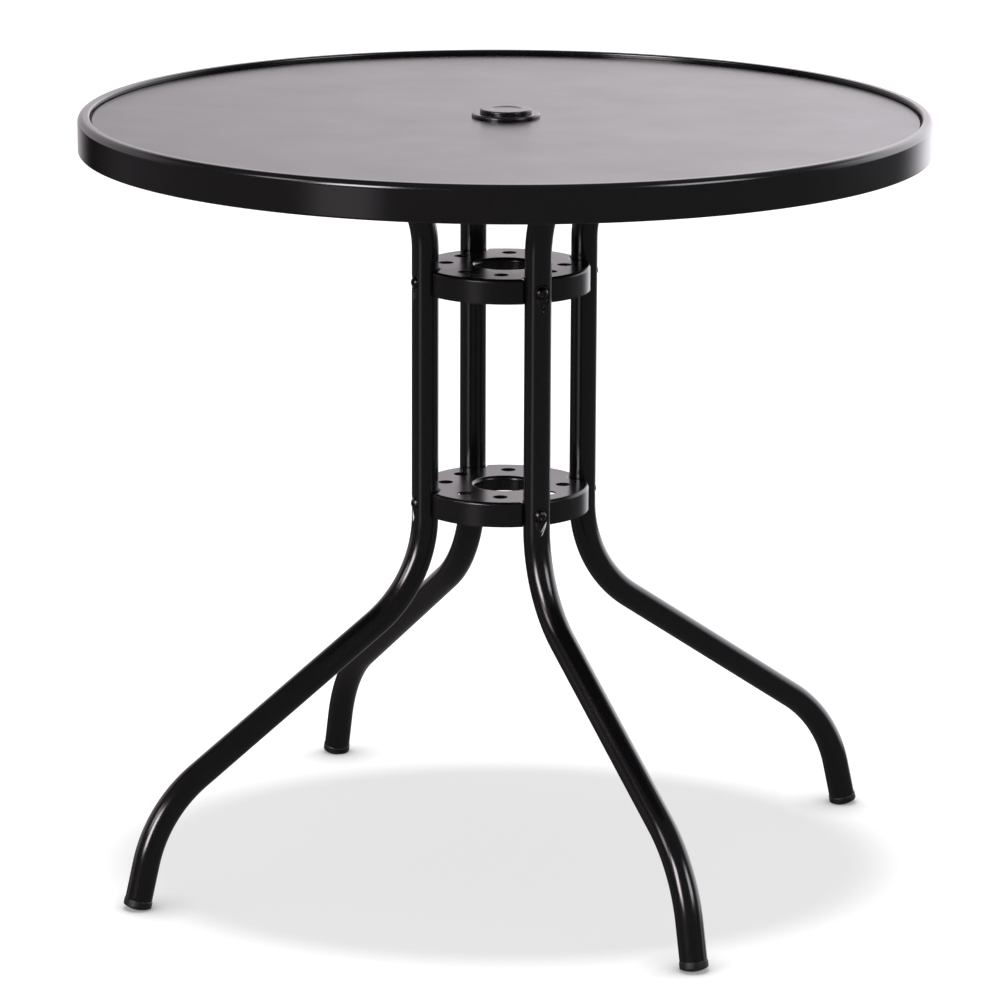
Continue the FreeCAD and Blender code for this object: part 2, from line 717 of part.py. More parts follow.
def hub_bolts(name, height):
    """Button-head bolts that run from the dents through tube and hub."""
    body = new_body(name, group=True)
    section = sketch_on(body, name + "_section", "XZ_Plane", y=height)
    outline(section, [
        ("bolt_end", "0"),
        ("dent_floor + button_height", "0"),
        ("dent_floor + button_height", "button_crown", "left", "button_radius"),
        ("dent_floor", "button_radius"),
        ("dent_floor", "bolt_radius"),
        ("bolt_end", "bolt_radius"),
    ])
    bolt = revolve(body, name + "_one", section, "H_Axis")
    socket_sketch = sketch_on(body, name + "_socket_outline", "YZ_Plane", z="dent_floor + button_height")
    hexagon(socket_sketch, "0", height, "socket_size")
    socket = feature(body, "Pocket", name + "_socket", socket_sketch, Length="socket_depth")
    doc.recompute()
    if socket.Shape.Volume >= bolt.Shape.Volume:
        raise RuntimeError("the socket cuts nothing")
    repeat(body, name + "_round", [bolt, socket])
    turn_with_hubs(body)
    return body


def upright_washers(name, height):
    """Washers against the hub's seats, inside the dish."""
    body = new_body(name, group=True)
    sketch = sketch_on(body, name + "_outline", "YZ_Plane", z="nut_face")
    circle(sketch, "0", height, "washer_radius")
    circle(sketch, "0", height, "bolt_radius + thread_play")
    washer = feature(body, "Pad", name + "_one", sketch, Length="washer_thickness")
    repeat(body, name + "_round", [washer])
    turn_with_hubs(body)
    return body


def upright_nuts(name, height):
    """Nuts on the hub bolts."""
    body = new_body(name, group=True)
    sketch = sketch_on(body, name + "_outline", "YZ_Plane", z="nut_face - nut_height")
    hexagon(sketch, "0", height, "nut_size")
    circle(sketch, "0", height, "bolt_radius + thread_play")
    nut = feature(body, "Pad", name + "_one", sketch, Length="nut_height")
    repeat(body, name + "_round", [nut])
    turn_with_hubs(body)
    return body


def arm_bolts():
    """Hexagon bolts up through the pressed tabs and the rim's brackets."""
    body = new_body("arm_bolts", group=True)
    head_sketch = sketch_on(body, "head_outline", "XY_Plane", z="tab_bottom")
    hexagon(head_sketch, "arm_bolt_radius", "0", "nut_size")
    head = feature(body, "Pad", "head", head_sketch, Length="hex_head_height")
    head.Reversed = True
    shank_sketch = sketch_on(body, "shank_outline", "XY_Plane", z="tab_bottom")
    circle(shank_sketch, "arm_bolt_radius", "0", "bolt_radius")
    shank = feature(body, "Pad", "shank", shank_sketch, Length="arm_bolt_end - tab_bottom")
    repeat(body, "arm_bolts_round", [head, shank])
    turn_about_pole(body, LEGS["back_right"])
    return body


def arm_washers():
    """Washers on top of the brackets."""
    body = new_body("arm_washers", group=True)
    sketch = sketch_on(body, "arm_washer_outline", "XY_Plane", z="bracket_top")
    circle(sketch, "arm_bolt_radius", "0", "washer_radius")
    circle(sketch, "arm_bolt_radius", "0", "bolt_radius + thread_play")
    washer = feature(body, "Pad", "arm_washer", sketch, Length="washer_thickness")
    repeat(body, "arm_washers_round", [washer])
    turn_about_pole(body, LEGS["back_right"])
    return body


def arm_nuts():
    """Nuts above the brackets."""
    body = new_body("arm_nuts", group=True)
    sketch = sketch_on(body, "arm_nut_outline", "XY_Plane", z="bracket_top + washer_thickness")
    hexagon(sketch, "arm_bolt_radius", "0", "nut_size")
    circle(sketch, "arm_bolt_radius", "0", "bolt_radius + thread_play")
    nut = feature(body, "Pad", "arm_nut", sketch, Length="nut_height")
    repeat(body, "arm_nuts_round", [nut])
    turn_about_pole(body, LEGS["back_right"])
    return body


def rim_bracket(name, angle):
    """Bent plate welded inside the band, which the arm's tab is bolted under."""
    body = new_body(name)
    section = sketch_on(body, name + "_section", "XZ_Plane")
    outline(section, [
        ("bracket_back - bracket_reach", "tab_top"),
        ("bracket_back - bracket_bend", "tab_top", "left", "bracket_bend"),
        ("bracket_back", "tab_top + bracket_bend"),
        ("bracket_back", "tab_top + bracket_height"),
        ("bracket_back - bracket_sheet", "tab_top + bracket_height"),
        ("bracket_back - bracket_sheet", "tab_top + bracket_bend", "right", "bracket_bend - bracket_sheet"),
        ("bracket_back - bracket_bend", "bracket_top"),
        ("bracket_back - bracket_reach", "bracket_top"),
    ])
    plate = feature(body, "Pad", name + "_plate", section, Length="bracket_width")
    plate.SideType = "Symmetric"
    inner = number("bracket_back - bracket_reach")
    rounded = fillet(body, name + "_corners", plate,
                     lambda edge: is_upright(edge) and abs(edge.BoundBox.XMin - inner) < 0.01,
                     "bracket_corner")
    hole_sketch = sketch_on(body, name + "_hole_outline", "XY_Plane", z="bracket_top")
    circle(hole_sketch, "arm_bolt_radius", "0", "bolt_radius + bolt_play")
    hole = feature(body, "Pocket", name + "_hole", hole_sketch, Length="bracket_sheet")
    doc.recompute()
    if hole.Shape.Volume >= rounded.Shape.Volume:
        raise RuntimeError("the bracket's hole cuts nothing")
    turn_about_pole(body, angle)
    return body


def foot_cap_form():
    """Outside of a foot cap in line with its tube: stem, rounded head and domed sole."""
    body = new_body("foot_cap_form")
    section = sketch_on(body, "foot_section", "XZ_Plane", x="foot_radius")
    bind(section, "AttachmentOffset.Rotation.Angle", "foot_angle")
    dome_rise = "foot_dome_radius - sqrt(foot_dome_radius^2 - foot_cap_radius^2) - foot_sole_cut"
    stem = "(bore_radius - foot_stem_play)"
    outline(section, [
        ("0", "-foot_sole_cut", "left", "foot_dome_radius"),
        ("foot_cap_radius", dome_rise),
        ("foot_cap_radius", "foot_cap_height - foot_edge", "left", "foot_edge"),
        ("foot_cap_radius - foot_edge", "foot_cap_height"),
        (stem, "foot_cap_height"),
        (stem, "foot_cap_height + foot_stem_length - foot_stem_lead"),
        (f"{stem} - foot_stem_lead", "foot_cap_height + foot_stem_length"),
        ("0", "foot_cap_height + foot_stem_length"),
    ])
    revolve(body, "stem_and_sole", section)
    return body


def foot_cap(name, form, floor, angle):
    """Foot cap cut flat where it stands on the floor."""
    cap = doc.addObject("Part::Cut", name)
    cap.Label = name
    cap.Base = form
    cap.Tool = floor
    turn_with_leg(cap, angle)
    return cap


def floor_slab():
    """Block below the floor that flattens each sole."""
    slab = doc.addObject("Part::Box", "floor_slab")
    for prop in ("Length", "Width", "Height"):
        bind(slab, prop, "4 * foot_cap_radius")
    slab.Placement = FreeCAD.Placement(V(0, 0, 0), FreeCAD.Rotation())
    bind(slab, "Placement.Base.x", "foot_radius - 2 * foot_cap_radius")
    bind(slab, "Placement.Base.y", "-2 * foot_cap_radius")
    bind(slab, "Placement.Base.z", "-4 * foot_cap_radius")
    return slab


def build():
    """Make every piece and return those that are written out."""
    pieces = [top_rim(), glass_ledge(), glass_top(), glass_gasket()]
    pieces += [umbrella_grommet(), grommet_lock_ring(), umbrella_cap()]
    form, core = leg_tube_form(), leg_tube_core()
    sole, slab = foot_cap_form(), floor_slab()
    for place, angle in LEGS.items():
        pieces.append(leg("leg_" + place, form, core, angle))
        pieces.append(foot_cap("foot_cap_" + place, sole, slab, angle))
        pieces.append(rim_bracket("rim_bracket_" + place, angle))
    for side in ("upper", "lower"):
        bolt_height = side + "_bolt_height"
        pieces.append(hub(side + "_hub", side + "_hub_height"))
        pieces.append(hub_bolts(side + "_hub_bolts", bolt_height))
        pieces.append(upright_washers(side + "_hub_washers", bolt_height))
        pieces.append(upright_nuts(side + "_hub_nuts", bolt_height))
    return pieces + [arm_bolts(), arm_washers(), arm_nuts()]


def check(pieces):
    """Stop if any object failed, or any piece is empty or not a valid solid."""
    for item in doc.Objects:
        if "Invalid" in item.State or "Error" in item.State:
            raise RuntimeError(f"{item.Label} failed: {item.State} {item.getStatusString()}")
    for piece in pieces:
        shape = piece.Shape
        if shape.isNull() or not shape.Solids or not shape.isValid():
            raise RuntimeError(f"{piece.Label} has no valid solid")
        print(f"{piece.Label:28} {len(shape.Solids)} solid, {shape.Volume / 1000:9.2f} cm3")


nodes = build()
doc.recompute()
check(nodes)
os.makedirs("parts", exist_ok=True)
for node in nodes:
    node.Shape.exportStep(f"parts/{node.Label}.step")
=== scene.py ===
# %% [markdown]
# # A small table for a garden umbrella
# The real table is a round pane of black glass in a rolled steel rim. It stands on four bent tubes
# that two pressed dishes hold round the umbrella's pole. Its sizes and its moving cap come from a
# CAD model. This script keeps those sizes and gives each piece its rounded edges, dents, threads
# and finishes.

# %% Load the CAD model
import math

import bpy
import numpy as np
from mathutils import Matrix


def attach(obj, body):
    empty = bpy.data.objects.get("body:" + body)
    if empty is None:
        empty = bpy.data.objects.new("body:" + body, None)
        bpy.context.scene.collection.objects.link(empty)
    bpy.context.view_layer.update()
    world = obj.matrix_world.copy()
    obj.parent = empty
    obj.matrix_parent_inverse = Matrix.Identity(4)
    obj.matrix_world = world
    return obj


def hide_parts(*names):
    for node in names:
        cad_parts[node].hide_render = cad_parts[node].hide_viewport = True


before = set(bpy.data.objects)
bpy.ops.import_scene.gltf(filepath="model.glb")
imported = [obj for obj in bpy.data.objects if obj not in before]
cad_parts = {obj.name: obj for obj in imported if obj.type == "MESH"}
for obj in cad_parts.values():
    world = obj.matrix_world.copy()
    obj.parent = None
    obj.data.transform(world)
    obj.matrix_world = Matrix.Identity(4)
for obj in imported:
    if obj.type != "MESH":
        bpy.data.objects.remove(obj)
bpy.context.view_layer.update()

# %% [markdown]
# ## Sizes
# A maker works from one list of sizes, so that pieces that touch agree. These are the ones that
# the CAD model uses, in millimetres. The table stands on z = 0, with the pole's axis in the middle.

# %% Sizes in millimetres
RIM_RADIUS, LIP_TOP, BAND_BOTTOM, SHEET = 400.0, 727.5, 693.3, 1.2
LIP_INSIDE, LEDGE_TOP, LEDGE_INSIDE = 388.5, 716.7, 372.5
GLASS_TOP, GLASS_BOTTOM, GLASS_RADIUS, GLASS_HOLE = 722.7, 717.7, 387.1, 24.0
FLANGE_TOP, FLANGE_RADIUS, SLEEVE_BOTTOM = 726.1, 32.2, 700.7
CAP_TOP, CAP_RADIUS, PLUG_RADIUS, PLUG_INSIDE = 730.3, 24.3, 20.6, 18.4
TUBE_RADIUS, BORE_RADIUS, COLUMN_RADIUS = 12.7, 11.5, 81.0
HUB_BOLT_HEIGHTS = {"upper": 570.75, "lower": 357.75}
DENT_FLOOR, NUT_FACE, BOLT_END = 91.0, 65.3, 58.8
ARM_BOLT_RADIUS, ARM_HEIGHT, TAB_BOTTOM, BRACKET_TOP = 372.8, 700.0, 698.0, 705.0
NUT_HEIGHT, WASHER_HEIGHT = 5.0, 1.4
FOOT_RADIUS, FOOT_ANGLE, FOOT_HEAD = 384.0, math.radians(13.6), 9.6
LEGS = {"front_right": -45, "back_right": 45, "back_left": 135, "front_left": 225}
print(f"{2 * RIM_RADIUS:.0f} mm wide, {LIP_TOP} mm high, on tubes of {2 * TUBE_RADIUS} mm")

# %% [markdown]
# The photograph shows the four columns turned a little clockwise against the feet, as if each leg
# swung by 1.3 degrees about the bolt at the end of its arm. A leg is made flat in its own plane.
# Two sides of the triangle between pole, bolt and column are known, and so the third follows.

# %% How far the columns are turned
SKEW = math.radians(1.3)
arm_reach = ARM_BOLT_RADIUS * math.cos(SKEW) - math.sqrt(
    COLUMN_RADIUS ** 2 - (ARM_BOLT_RADIUS * math.sin(SKEW)) ** 2)
COLUMN_X = ARM_BOLT_RADIUS - arm_reach
COLUMN_TURN = math.asin(arm_reach * math.sin(SKEW) / COLUMN_RADIUS)
print(f"column {COLUMN_X:.2f} mm along the leg's plane, turned {math.degrees(COLUMN_TURN):.2f} degrees")

# %% [markdown]
# ## From numbers to a mesh
# Blender's meshes are lists of points and faces. Most pieces here are rings of points: a grid whose
# columns run round the piece and whose rows run along it. Neighbours in the grid make a
# four-sided face, so the faces follow from the grid's size alone.


# %% Skins over rings of points
def skin(rings, ends="wrap"):
    """Cover a grid of rings, shaped rows x columns x 3, with faces.

    Face (i, j) joins points (i, j), (i, j + 1), (i + 1, j + 1) and (i + 1, j). With ends "wrap" the
    last row meets the first. With ends "fan" the first and last rings close on their middles.
    """
    rows, columns = rings.shape[:2]
    row = np.arange(rows if ends == "wrap" else rows - 1)[:, None] * columns
    column = np.arange(columns)[None, :]
    above = (row + columns) % (rows * columns)
    beside = (column + 1) % columns
    quads = np.stack([row + column, row + beside, above + beside, above + column], axis=-1).reshape(-1, 4)
    points = rings.reshape(-1, 3)
    if ends == "wrap":
        return points, [quads]
    count, last = len(points), (rows - 1) * columns
    ring, following = column[0], beside[0]
    first_fan = np.stack([np.full(columns, count), following, ring], axis=-1)
    last_fan = np.stack([np.full(columns, count + 1), last + ring, last + following], axis=-1)
    points = np.vstack([points, rings[0].mean(axis=0), rings[-1].mean(axis=0)])
    return points, [quads, first_fan, last_fan]


blocks = skin(np.zeros((3, 8, 3)), ends="fan")[1]
print("three rings of eight points make", sum(len(block) for block in blocks), "faces")

# %% [markdown]
# Every skin becomes a Blender object in one place, so that all pieces are shaded, finished and tied
# to the CAD model alike. Their faces have to point outwards. The volume that they enclose tells
# whether they do, because it comes out negative where they point inwards.


# %% From a skin to a piece
def enclosed_volume(points, faces):
    """Volume inside the faces: the sum over their triangles of a . (b x c) / 6."""
    total = 0.0
    for block in faces:
        for corner in range(1, block.shape[1] - 1):
            a, b, c = points[block[:, 0]], points[block[:, corner]], points[block[:, corner + 1]]
            total += np.sum(a * np.cross(b, c)) / 6
    return total


def make_piece(name, part, finish, replaces=(), body="table", crease=32):
    """Turn a skin in millimetres into an object that rides on a CAD body and stands for its nodes."""
    points, faces = part
    if enclosed_volume(points, faces) < 0:
        faces = [block[:, ::-1] for block in faces]
    mesh = bpy.data.meshes.new(name)
    mesh.from_pydata(points * 0.001, [], [face for block in faces for face in block.tolist()])
    mesh.shade_smooth()
    mesh.set_sharp_from_angle(angle=math.radians(crease))
    mesh.materials.append(finish)
    piece = bpy.data.objects.new(name, mesh)
    bpy.context.scene.collection.objects.link(piece)
    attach(piece, body)
    if replaces:
        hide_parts(*replaces)
    print(f"{name}: {len(mesh.polygons)} faces")
    return piece


corners = np.array([[0, 0, 0], [1, 0, 0], [0, 1, 0], [0, 0, 6.0]])
sides = np.array([[0, 2, 1], [0, 1, 3], [0, 3, 2], [1, 2, 3]])
print("a pyramid 6 high on half a square holds", round(enclosed_volume(corners, [sides]), 3))

# %% [markdown]
# ## Rounded sections
# No edge of a real piece is perfectly sharp: a sheet is rolled over a former, plastic leaves its
# mould with small radii, glass is ground. A thin bright line runs along such edges, and an edge
# without it looks drawn. So every section starts as a few corners with a radius each.


# %% Outlines with rounded corners
def rounded(corners, steps=8):
    """Round the corners of a closed outline. Each corner is (across, up, radius).

    With half of the angle between its two sides, a corner's arc starts and ends at a reach of
    radius / tan(half) along them. Its centre is radius / sin(half) away, midway between the sides.
    A point min(0.15 room, 0.5) past each end keeps the flats flat in the light.
    """
    corners = np.array(corners, dtype=float)
    places, radius = corners[:, :2], corners[:, 2:]
    back, on = (np.roll(places, step, axis=0) - places for step in (1, -1))
    side = np.linalg.norm(on, axis=1, keepdims=True)
    back /= np.linalg.norm(back, axis=1, keepdims=True)
    on /= side
    half = np.arccos(np.sum(back * on, axis=1, keepdims=True)) / 2
    reach = radius / np.tan(half)
    past = np.minimum(0.15 * (side - reach - np.roll(reach, -1, axis=0)), 0.5)
    midway = (back + on) / np.linalg.norm(back + on, axis=1, keepdims=True)
    centre = (places + midway * radius / np.sin(half))[:, None]
    start = (places + back * reach)[:, None] - centre
    end = (places + on * reach)[:, None] - centre
    share = np.linspace(0, 1, steps)[None, :, None]
    sweep = (math.pi - 2 * half)[:, None]
    arcs = centre + (np.sin((1 - share) * sweep) * start + np.sin(share * sweep) * end) / np.sin(sweep)
    before = places + back * (reach + np.roll(past, 1, axis=0))
    after = places + on * (reach + past)
    points = np.concatenate([before[:, None], arcs, after[:, None]], axis=1).reshape(-1, 2)
    return points[np.linalg.norm(points - np.roll(points, 1, axis=0), axis=1) > 1e-4]


print("a rounded square has", len(rounded([(0, 0, 1), (9, 0, 1), (9, 9, 1), (0, 9, 1)])), "points")

# %% [markdown]
# Rim, glass, gasket and grommet are round, so each is one section carried once round the pole's
# axis. The points go straight into a grid: one row for each point of the section.


# %% Turning a section
def around(radius, height, angle):
    """Points round the upright axis: (r cos a, r sin a, height), for whole arrays of each."""
    return np.stack([radius * np.cos(angle), radius * np.sin(angle), height + 0 * angle], axis=-1)


def revolve(outline, count=96):
    """Turn an outline of (radius, height) round the upright axis, in equal steps of angle."""
    return around(outline[:, :1], outline[:, 1:], np.arange(count) * 2 * math.pi / count)


print("a turned square is a grid of", revolve(np.array([(8, 0), (9, 0), (9, 1), (8, 1)])).shape)

# %% [markdown]
# ## Nodes for the finishes
# A finish is a small graph of nodes. Colours are written as they look on a screen, and Blender
# works with the amount of light, so each one is converted. One helper adds any node and joins it to
# what feeds it, so that a material reads from top to bottom like a recipe.


# %% Colours and nodes
def colour(text):
    """Amount of light of a screen colour: ((s + 0.055) / 1.055) ** 2.4, or s / 12.92 if dark."""
    screen = np.array([int(text[start:start + 2], 16) / 255 for start in (1, 3, 5)])
    light = np.where(screen > 0.04045, ((screen + 0.055) / 1.055) ** 2.4, screen / 12.92)
    return (*(float(part) for part in light), 1.0)


def add_node(tree, kind, inputs=None, **settings):
    """Add a node. Its inputs are plain values, or outputs of nodes that are there already."""
    node = tree.nodes.new("ShaderNode" + kind)
    for name, value in settings.items():
        setattr(node, name, value)
    for name, value in (inputs or {}).items():
        if isinstance(value, bpy.types.NodeSocket):
            tree.links.new(value, node.inputs[name])
        else:
            node.inputs[name].default_value = value
    return node


print("middle grey on a screen is", round(colour("#808080")[0], 3), "of the light of white")

# %% [markdown]
# No real surface is quite even. Each finish has a fine grain in relief, and its tone and gloss
# drift slowly across the piece. That is what tells coated steel from black plastic.


# %% One recipe for every finish
def surface_finish(name, tones, roughness, grain, depth, cloud=90.0, **shader_values):
    """Material with a fine grain in relief and a slow drift of tone and gloss.

    grain and cloud are the sizes of the two noises in millimetres, depth is the relief of the
    grain in millimetres, tones are two colours and roughness is two values to drift between.
    """
    material = bpy.data.materials.new(name)
    material.use_nodes = True
    tree = material.node_tree
    shader = tree.nodes["Principled BSDF"]
    place = add_node(tree, "TexCoord").outputs["Object"]
    fine = add_node(tree, "TexNoise", {"Vector": place, "Scale": 1000 / grain, "Detail": 2.0})
    slow = add_node(tree, "TexNoise", {"Vector": place, "Scale": 1000 / cloud, "Detail": 3.0})
    drift = add_node(tree, "MapRange", {"Value": slow.outputs["Fac"], "From Min": 0.3, "From Max": 0.7,
                                        "To Min": roughness[0], "To Max": roughness[1]})
    tone = add_node(tree, "Mix", {"Factor": slow.outputs["Fac"], 6: colour(tones[0]), 7: colour(tones[1])},
                    data_type="RGBA")
    relief = add_node(tree, "Bump", {"Height": fine.outputs["Fac"], "Distance": depth * 0.001})
    tree.links.new(tone.outputs[2], shader.inputs["Base Color"])
    tree.links.new(drift.outputs["Result"], shader.inputs["Roughness"])
    tree.links.new(relief.outputs["Normal"], shader.inputs["Normal"])
    for name_of_input, value in shader_values.items():
        shader.inputs[name_of_input.replace("_", " ")].default_value = value
    return material


print("a grain of 1.6 mm is a noise scale of", 1000 / 1.6)

# %% [markdown]
# ## Finishes
# The steel is powder coated: dry paint that melts in an oven into one smooth glossy coat. It draws
# together a little as it sets, which leaves a shallow waviness of a millimetre or two, like the
# peel of an orange. Highlights on the tubes are long and soft-edged because of it. The hubs are
# coated by themselves, and in the photograph their flat tops mirror less than the tubes do.

# %% Powder coat on the steel
powder_coat = surface_finish("black_powder_coat", ("#121113", "#151314"), (0.13, 0.18), grain=1.6,
                             depth=0.006)
hub_coat = surface_finish("hub_powder_coat", ("#161517", "#1a1819"), (0.21, 0.28), grain=1.6, depth=0.006,
                          Specular_IOR_Level=0.35)
print(powder_coat.name, hub_coat.name)

# %% [markdown]
# The pane is clear glass with black enamel baked on its underside, so the light that enters it is
# swallowed and only its face reflects. It is seen at a low angle, where glass mirrors nearly half
# of the light. The face is very finely rippled and blurs what it mirrors, so in the photograph the
# wall behind shows in it as one even grey. The enamel itself, seen from below, is satin.

# %% Glass and its enamel
glass = surface_finish("black_glass", ("#040405", "#060607"), (0.24, 0.27), grain=1.2, depth=0.001, IOR=1.62)
ground_edge = surface_finish("ground_glass_edge", ("#0d1412", "#111a17"), (0.22, 0.3), grain=0.4, depth=0.004)
enamel = surface_finish("baked_enamel", ("#0c0c0d", "#101011"), (0.38, 0.46), grain=0.5, depth=0.004)
print(glass.name, ground_edge.name, enamel.name)

# %% [markdown]
# Soft vinyl, moulded plastic and the feet are all black as well, and only their gloss and grain
# tell them apart. The grommet and its cap come from a smooth mould and shine, the vinyl is dull,
# and the feet have the even matt grain of an etched mould.

# %% Vinyl and plastics
vinyl = surface_finish("gasket_vinyl", ("#0d0d0e", "#131314"), (0.5, 0.62), grain=0.6, depth=0.01)
plastic = surface_finish("black_plastic", ("#191819", "#1e1c1e"), (0.2, 0.27), grain=0.9, depth=0.002)
foot_rubber = surface_finish("foot_plastic", ("#090909", "#0d0d0d"), (0.42, 0.52), grain=0.35, depth=0.012)
print(vinyl.name, plastic.name, foot_rubber.name)

# %% [markdown]
# The bolts through the tubes are blackened steel: the metal shows through as a dark brown shine.
# The nuts and washers inside, and the bolts under the rim, are plated with zinc, which is pale,
# slightly blue and a little cloudy.

# %% Blackened and plated steel
black_bolt = surface_finish("black_bolt", ("#3b3938", "#4a4745"), (0.24, 0.34), grain=0.5, depth=0.004,
                            cloud=4.0, Metallic=1.0)
zinc = surface_finish("zinc_plate", ("#a9adb1", "#c6c8c9"), (0.24, 0.4), grain=0.4, depth=0.004,
                      cloud=5.0, Metallic=1.0)
print(black_bolt.name, zinc.name)

# %% [markdown]
# ## The rolled rim
# A strip of steel 1.2 mm thick is rolled between shaped rollers: its upper edge curls over into a
# round lip, and its lower edge turns in as a hem, so that no cut edge faces a hand. The strip is
# then bent to a hoop and welded. Its section is one closed outline, turned round the axis.

# %% Rim
lip, fold, hem, hem_inside = 6.0, 2.2, 2.0, 393.0
band_inside, lip_under = RIM_RADIUS - SHEET, LIP_TOP - SHEET
rim_section = rounded([
    (hem_inside, BAND_BOTTOM, 0.5), (RIM_RADIUS, BAND_BOTTOM, hem), (RIM_RADIUS, LIP_TOP, lip),
    (LIP_INSIDE, LIP_TOP, fold), (LIP_INSIDE, LEDGE_TOP, 0.3), (LIP_INSIDE + SHEET, LEDGE_TOP, 0.3),
    (LIP_INSIDE + SHEET, lip_under, fold - SHEET), (band_inside, lip_under, lip - SHEET),
    (band_inside, BAND_BOTTOM + SHEET, hem - SHEET), (hem_inside, BAND_BOTTOM + SHEET, 0.5),
], steps=12)
make_piece("rolled_rim", skin(revolve(rim_section, 512)), powder_coat, ["top_rim"])

# %% [markdown]
# ## Welds
# A weld bead is laid in one pass while the torch swings, so its surface is a row of overlapping
# ripples. Each bead here is a thin tube along a short path. Its radius swells and shrinks with
# every ripple and closes at both ends.


# %% Weld beads
def join(skins):
    """Put several skins into one: each one's face numbers move up by the points before it."""
    starts = np.cumsum([0] + [len(points) for points, _ in skins])
    faces = [block + start for (_, blocks), start in zip(skins, starts) for block in blocks]
    return np.vstack([points for points, _ in skins]), faces


def turned(part, degrees):
    """Turn a skin round the pole's axis: (x cos - y sin, x sin + y cos, z)."""
    points, faces = part
    angle = math.radians(degrees)
    cos, sin = math.cos(angle), math.sin(angle)
    return points @ np.array([[cos, sin, 0], [-sin, cos, 0], [0, 0, 1]]), faces


def weld_bead(path, radius, ripple=1.1):
    """Tube along a path, of radius r (1 + 0.1 sin(2 pi s / ripple)) sqrt(1 - e^8), e from -1 to 1."""
    path = np.array(path, dtype=float)
    runs = np.linalg.norm(np.diff(path, axis=0), axis=1)
    length = np.concatenate([[0], np.cumsum(runs)])
    along = np.gradient(path, axis=0)
    along /= np.linalg.norm(along, axis=1, keepdims=True)
    across = np.cross(along, [0.3, 0.5, 0.81])
    across /= np.linalg.norm(across, axis=1, keepdims=True)
    third = np.cross(along, across)
    share = np.linspace(-0.995, 0.995, len(path))
    size = radius * (1 + 0.1 * np.sin(2 * math.pi * length / ripple)) * np.sqrt(1 - share ** 8)
    angle = np.linspace(0, 2 * math.pi, 12, endpoint=False)[None, :, None]
    outwards = np.cos(angle) * across[:, None] + np.sin(angle) * third[:, None]
    return skin(path[:, None] + size[:, None, None] * outwards, ends="fan")


def upright_path(x, y, low, high, count):
    """Points on the upright line through (x, y), from low to high."""
    height = np.linspace(low, high, count)
    return np.stack([0 * height + x, 0 * height + y, height], axis=-1)


bracket_side = 19.0
bracket_beads = [turned(weld_bead(upright_path(band_inside - 1.6, beside, 706.5, 713.5, 40), 1.3), angle)
                 for beside in (-bracket_side, bracket_side) for angle in LEGS.values()]
tack_arc = np.radians(np.linspace(-1.1, 1.1, 60))
tack = weld_bead(around(band_inside - 0.7, LEDGE_TOP - 1.6, tack_arc), 1.2)
ledge_tacks = [turned(tack, 22.5 + 30 * number) for number in range(12)]
seam = turned(weld_bead(upright_path(band_inside - 0.2, 0.0, 696.0, 714.5, 110), 0.9), 100)
make_piece("rim_welds", join(bracket_beads + ledge_tacks + [seam]), powder_coat)

# %% [markdown]
# ## Glass and gasket
# The pane's edge is ground to a narrow bevel on both sides so that it doesn't chip. A soft strip
# keeps it off the steel and shows as a dull dark line round it. The pane is one closed outline
# too, and its faces get one of three finishes by where they are.

# %% Pane and gasket
bevel = 0.8
pane_section = rounded([
    (GLASS_HOLE, GLASS_BOTTOM, 0.3), (GLASS_RADIUS - bevel, GLASS_BOTTOM, 0.3),
    (GLASS_RADIUS, GLASS_BOTTOM + bevel, 0.3), (GLASS_RADIUS, GLASS_TOP - bevel, 0.3),
    (GLASS_RADIUS - bevel, GLASS_TOP, 0.3), (GLASS_HOLE + bevel, GLASS_TOP, 0.3),
    (GLASS_HOLE, GLASS_TOP - bevel, 0.3),
], steps=4)
pane = make_piece("glass_pane", skin(revolve(pane_section, 512)), glass, ["glass_top"])
pane.data.materials.append(ground_edge)
pane.data.materials.append(enamel)
middles = np.zeros(len(pane.data.polygons) * 3)
pane.data.polygons.foreach_get("center", middles)
height = middles.reshape(-1, 3)[:, 2] * 1000
kind = np.where(height > GLASS_TOP - 0.05, 0, np.where(height < GLASS_BOTTOM + 0.05, 2, 1))
pane.data.polygons.foreach_set("material_index", kind.astype(np.int32))

strip = 1.0
strip_section = rounded([
    (LEDGE_INSIDE, LEDGE_TOP, 0.3), (LIP_INSIDE, LEDGE_TOP, 0.3), (LIP_INSIDE, GLASS_TOP - bevel, 0.45),
    (LIP_INSIDE - strip, GLASS_TOP - bevel, 0.45), (LIP_INSIDE - strip, LEDGE_TOP + strip, 0.1),
    (LEDGE_INSIDE, LEDGE_TOP + strip, 0.3),
], steps=6)
make_piece("gasket_strip", skin(revolve(strip_section, 512)), vinyl, ["glass_gasket"])
print("pane faces by finish:", np.bincount(kind))

# %% [markdown]
# ## Grommet
# The umbrella's pole goes through a moulded sleeve, whose flange covers the hole in the glass. Its
# edges are generously rounded, both for the hand and to let the part leave its mould.

# %% Grommet
sleeve_inside, sleeve_outside = 21.0, 23.4
grommet_section = rounded([
    (sleeve_inside, SLEEVE_BOTTOM, 0.5), (sleeve_outside, SLEEVE_BOTTOM, 1.0),
    (sleeve_outside, GLASS_TOP, 0.2), (FLANGE_RADIUS, GLASS_TOP, 0.2), (FLANGE_RADIUS, FLANGE_TOP, 1.8),
    (sleeve_inside, FLANGE_TOP, 1.2),
], steps=12)
grommet = skin(revolve(grommet_section, 192))
make_piece("grommet_flange", grommet, plastic, ["umbrella_grommet"])

# %% [markdown]
# ## The cap over the hole
# With no umbrella in it, the hole is closed by a plug that lifts out. Its head has a shallow dish
# and a notch for a fingernail, and four springy legs with a small bead each hold it in the sleeve.
# The head is turned, and then the notch pushes the lower part of its side inwards over a few
# degrees. A leg is a curved bar: its section bends with the sleeve.


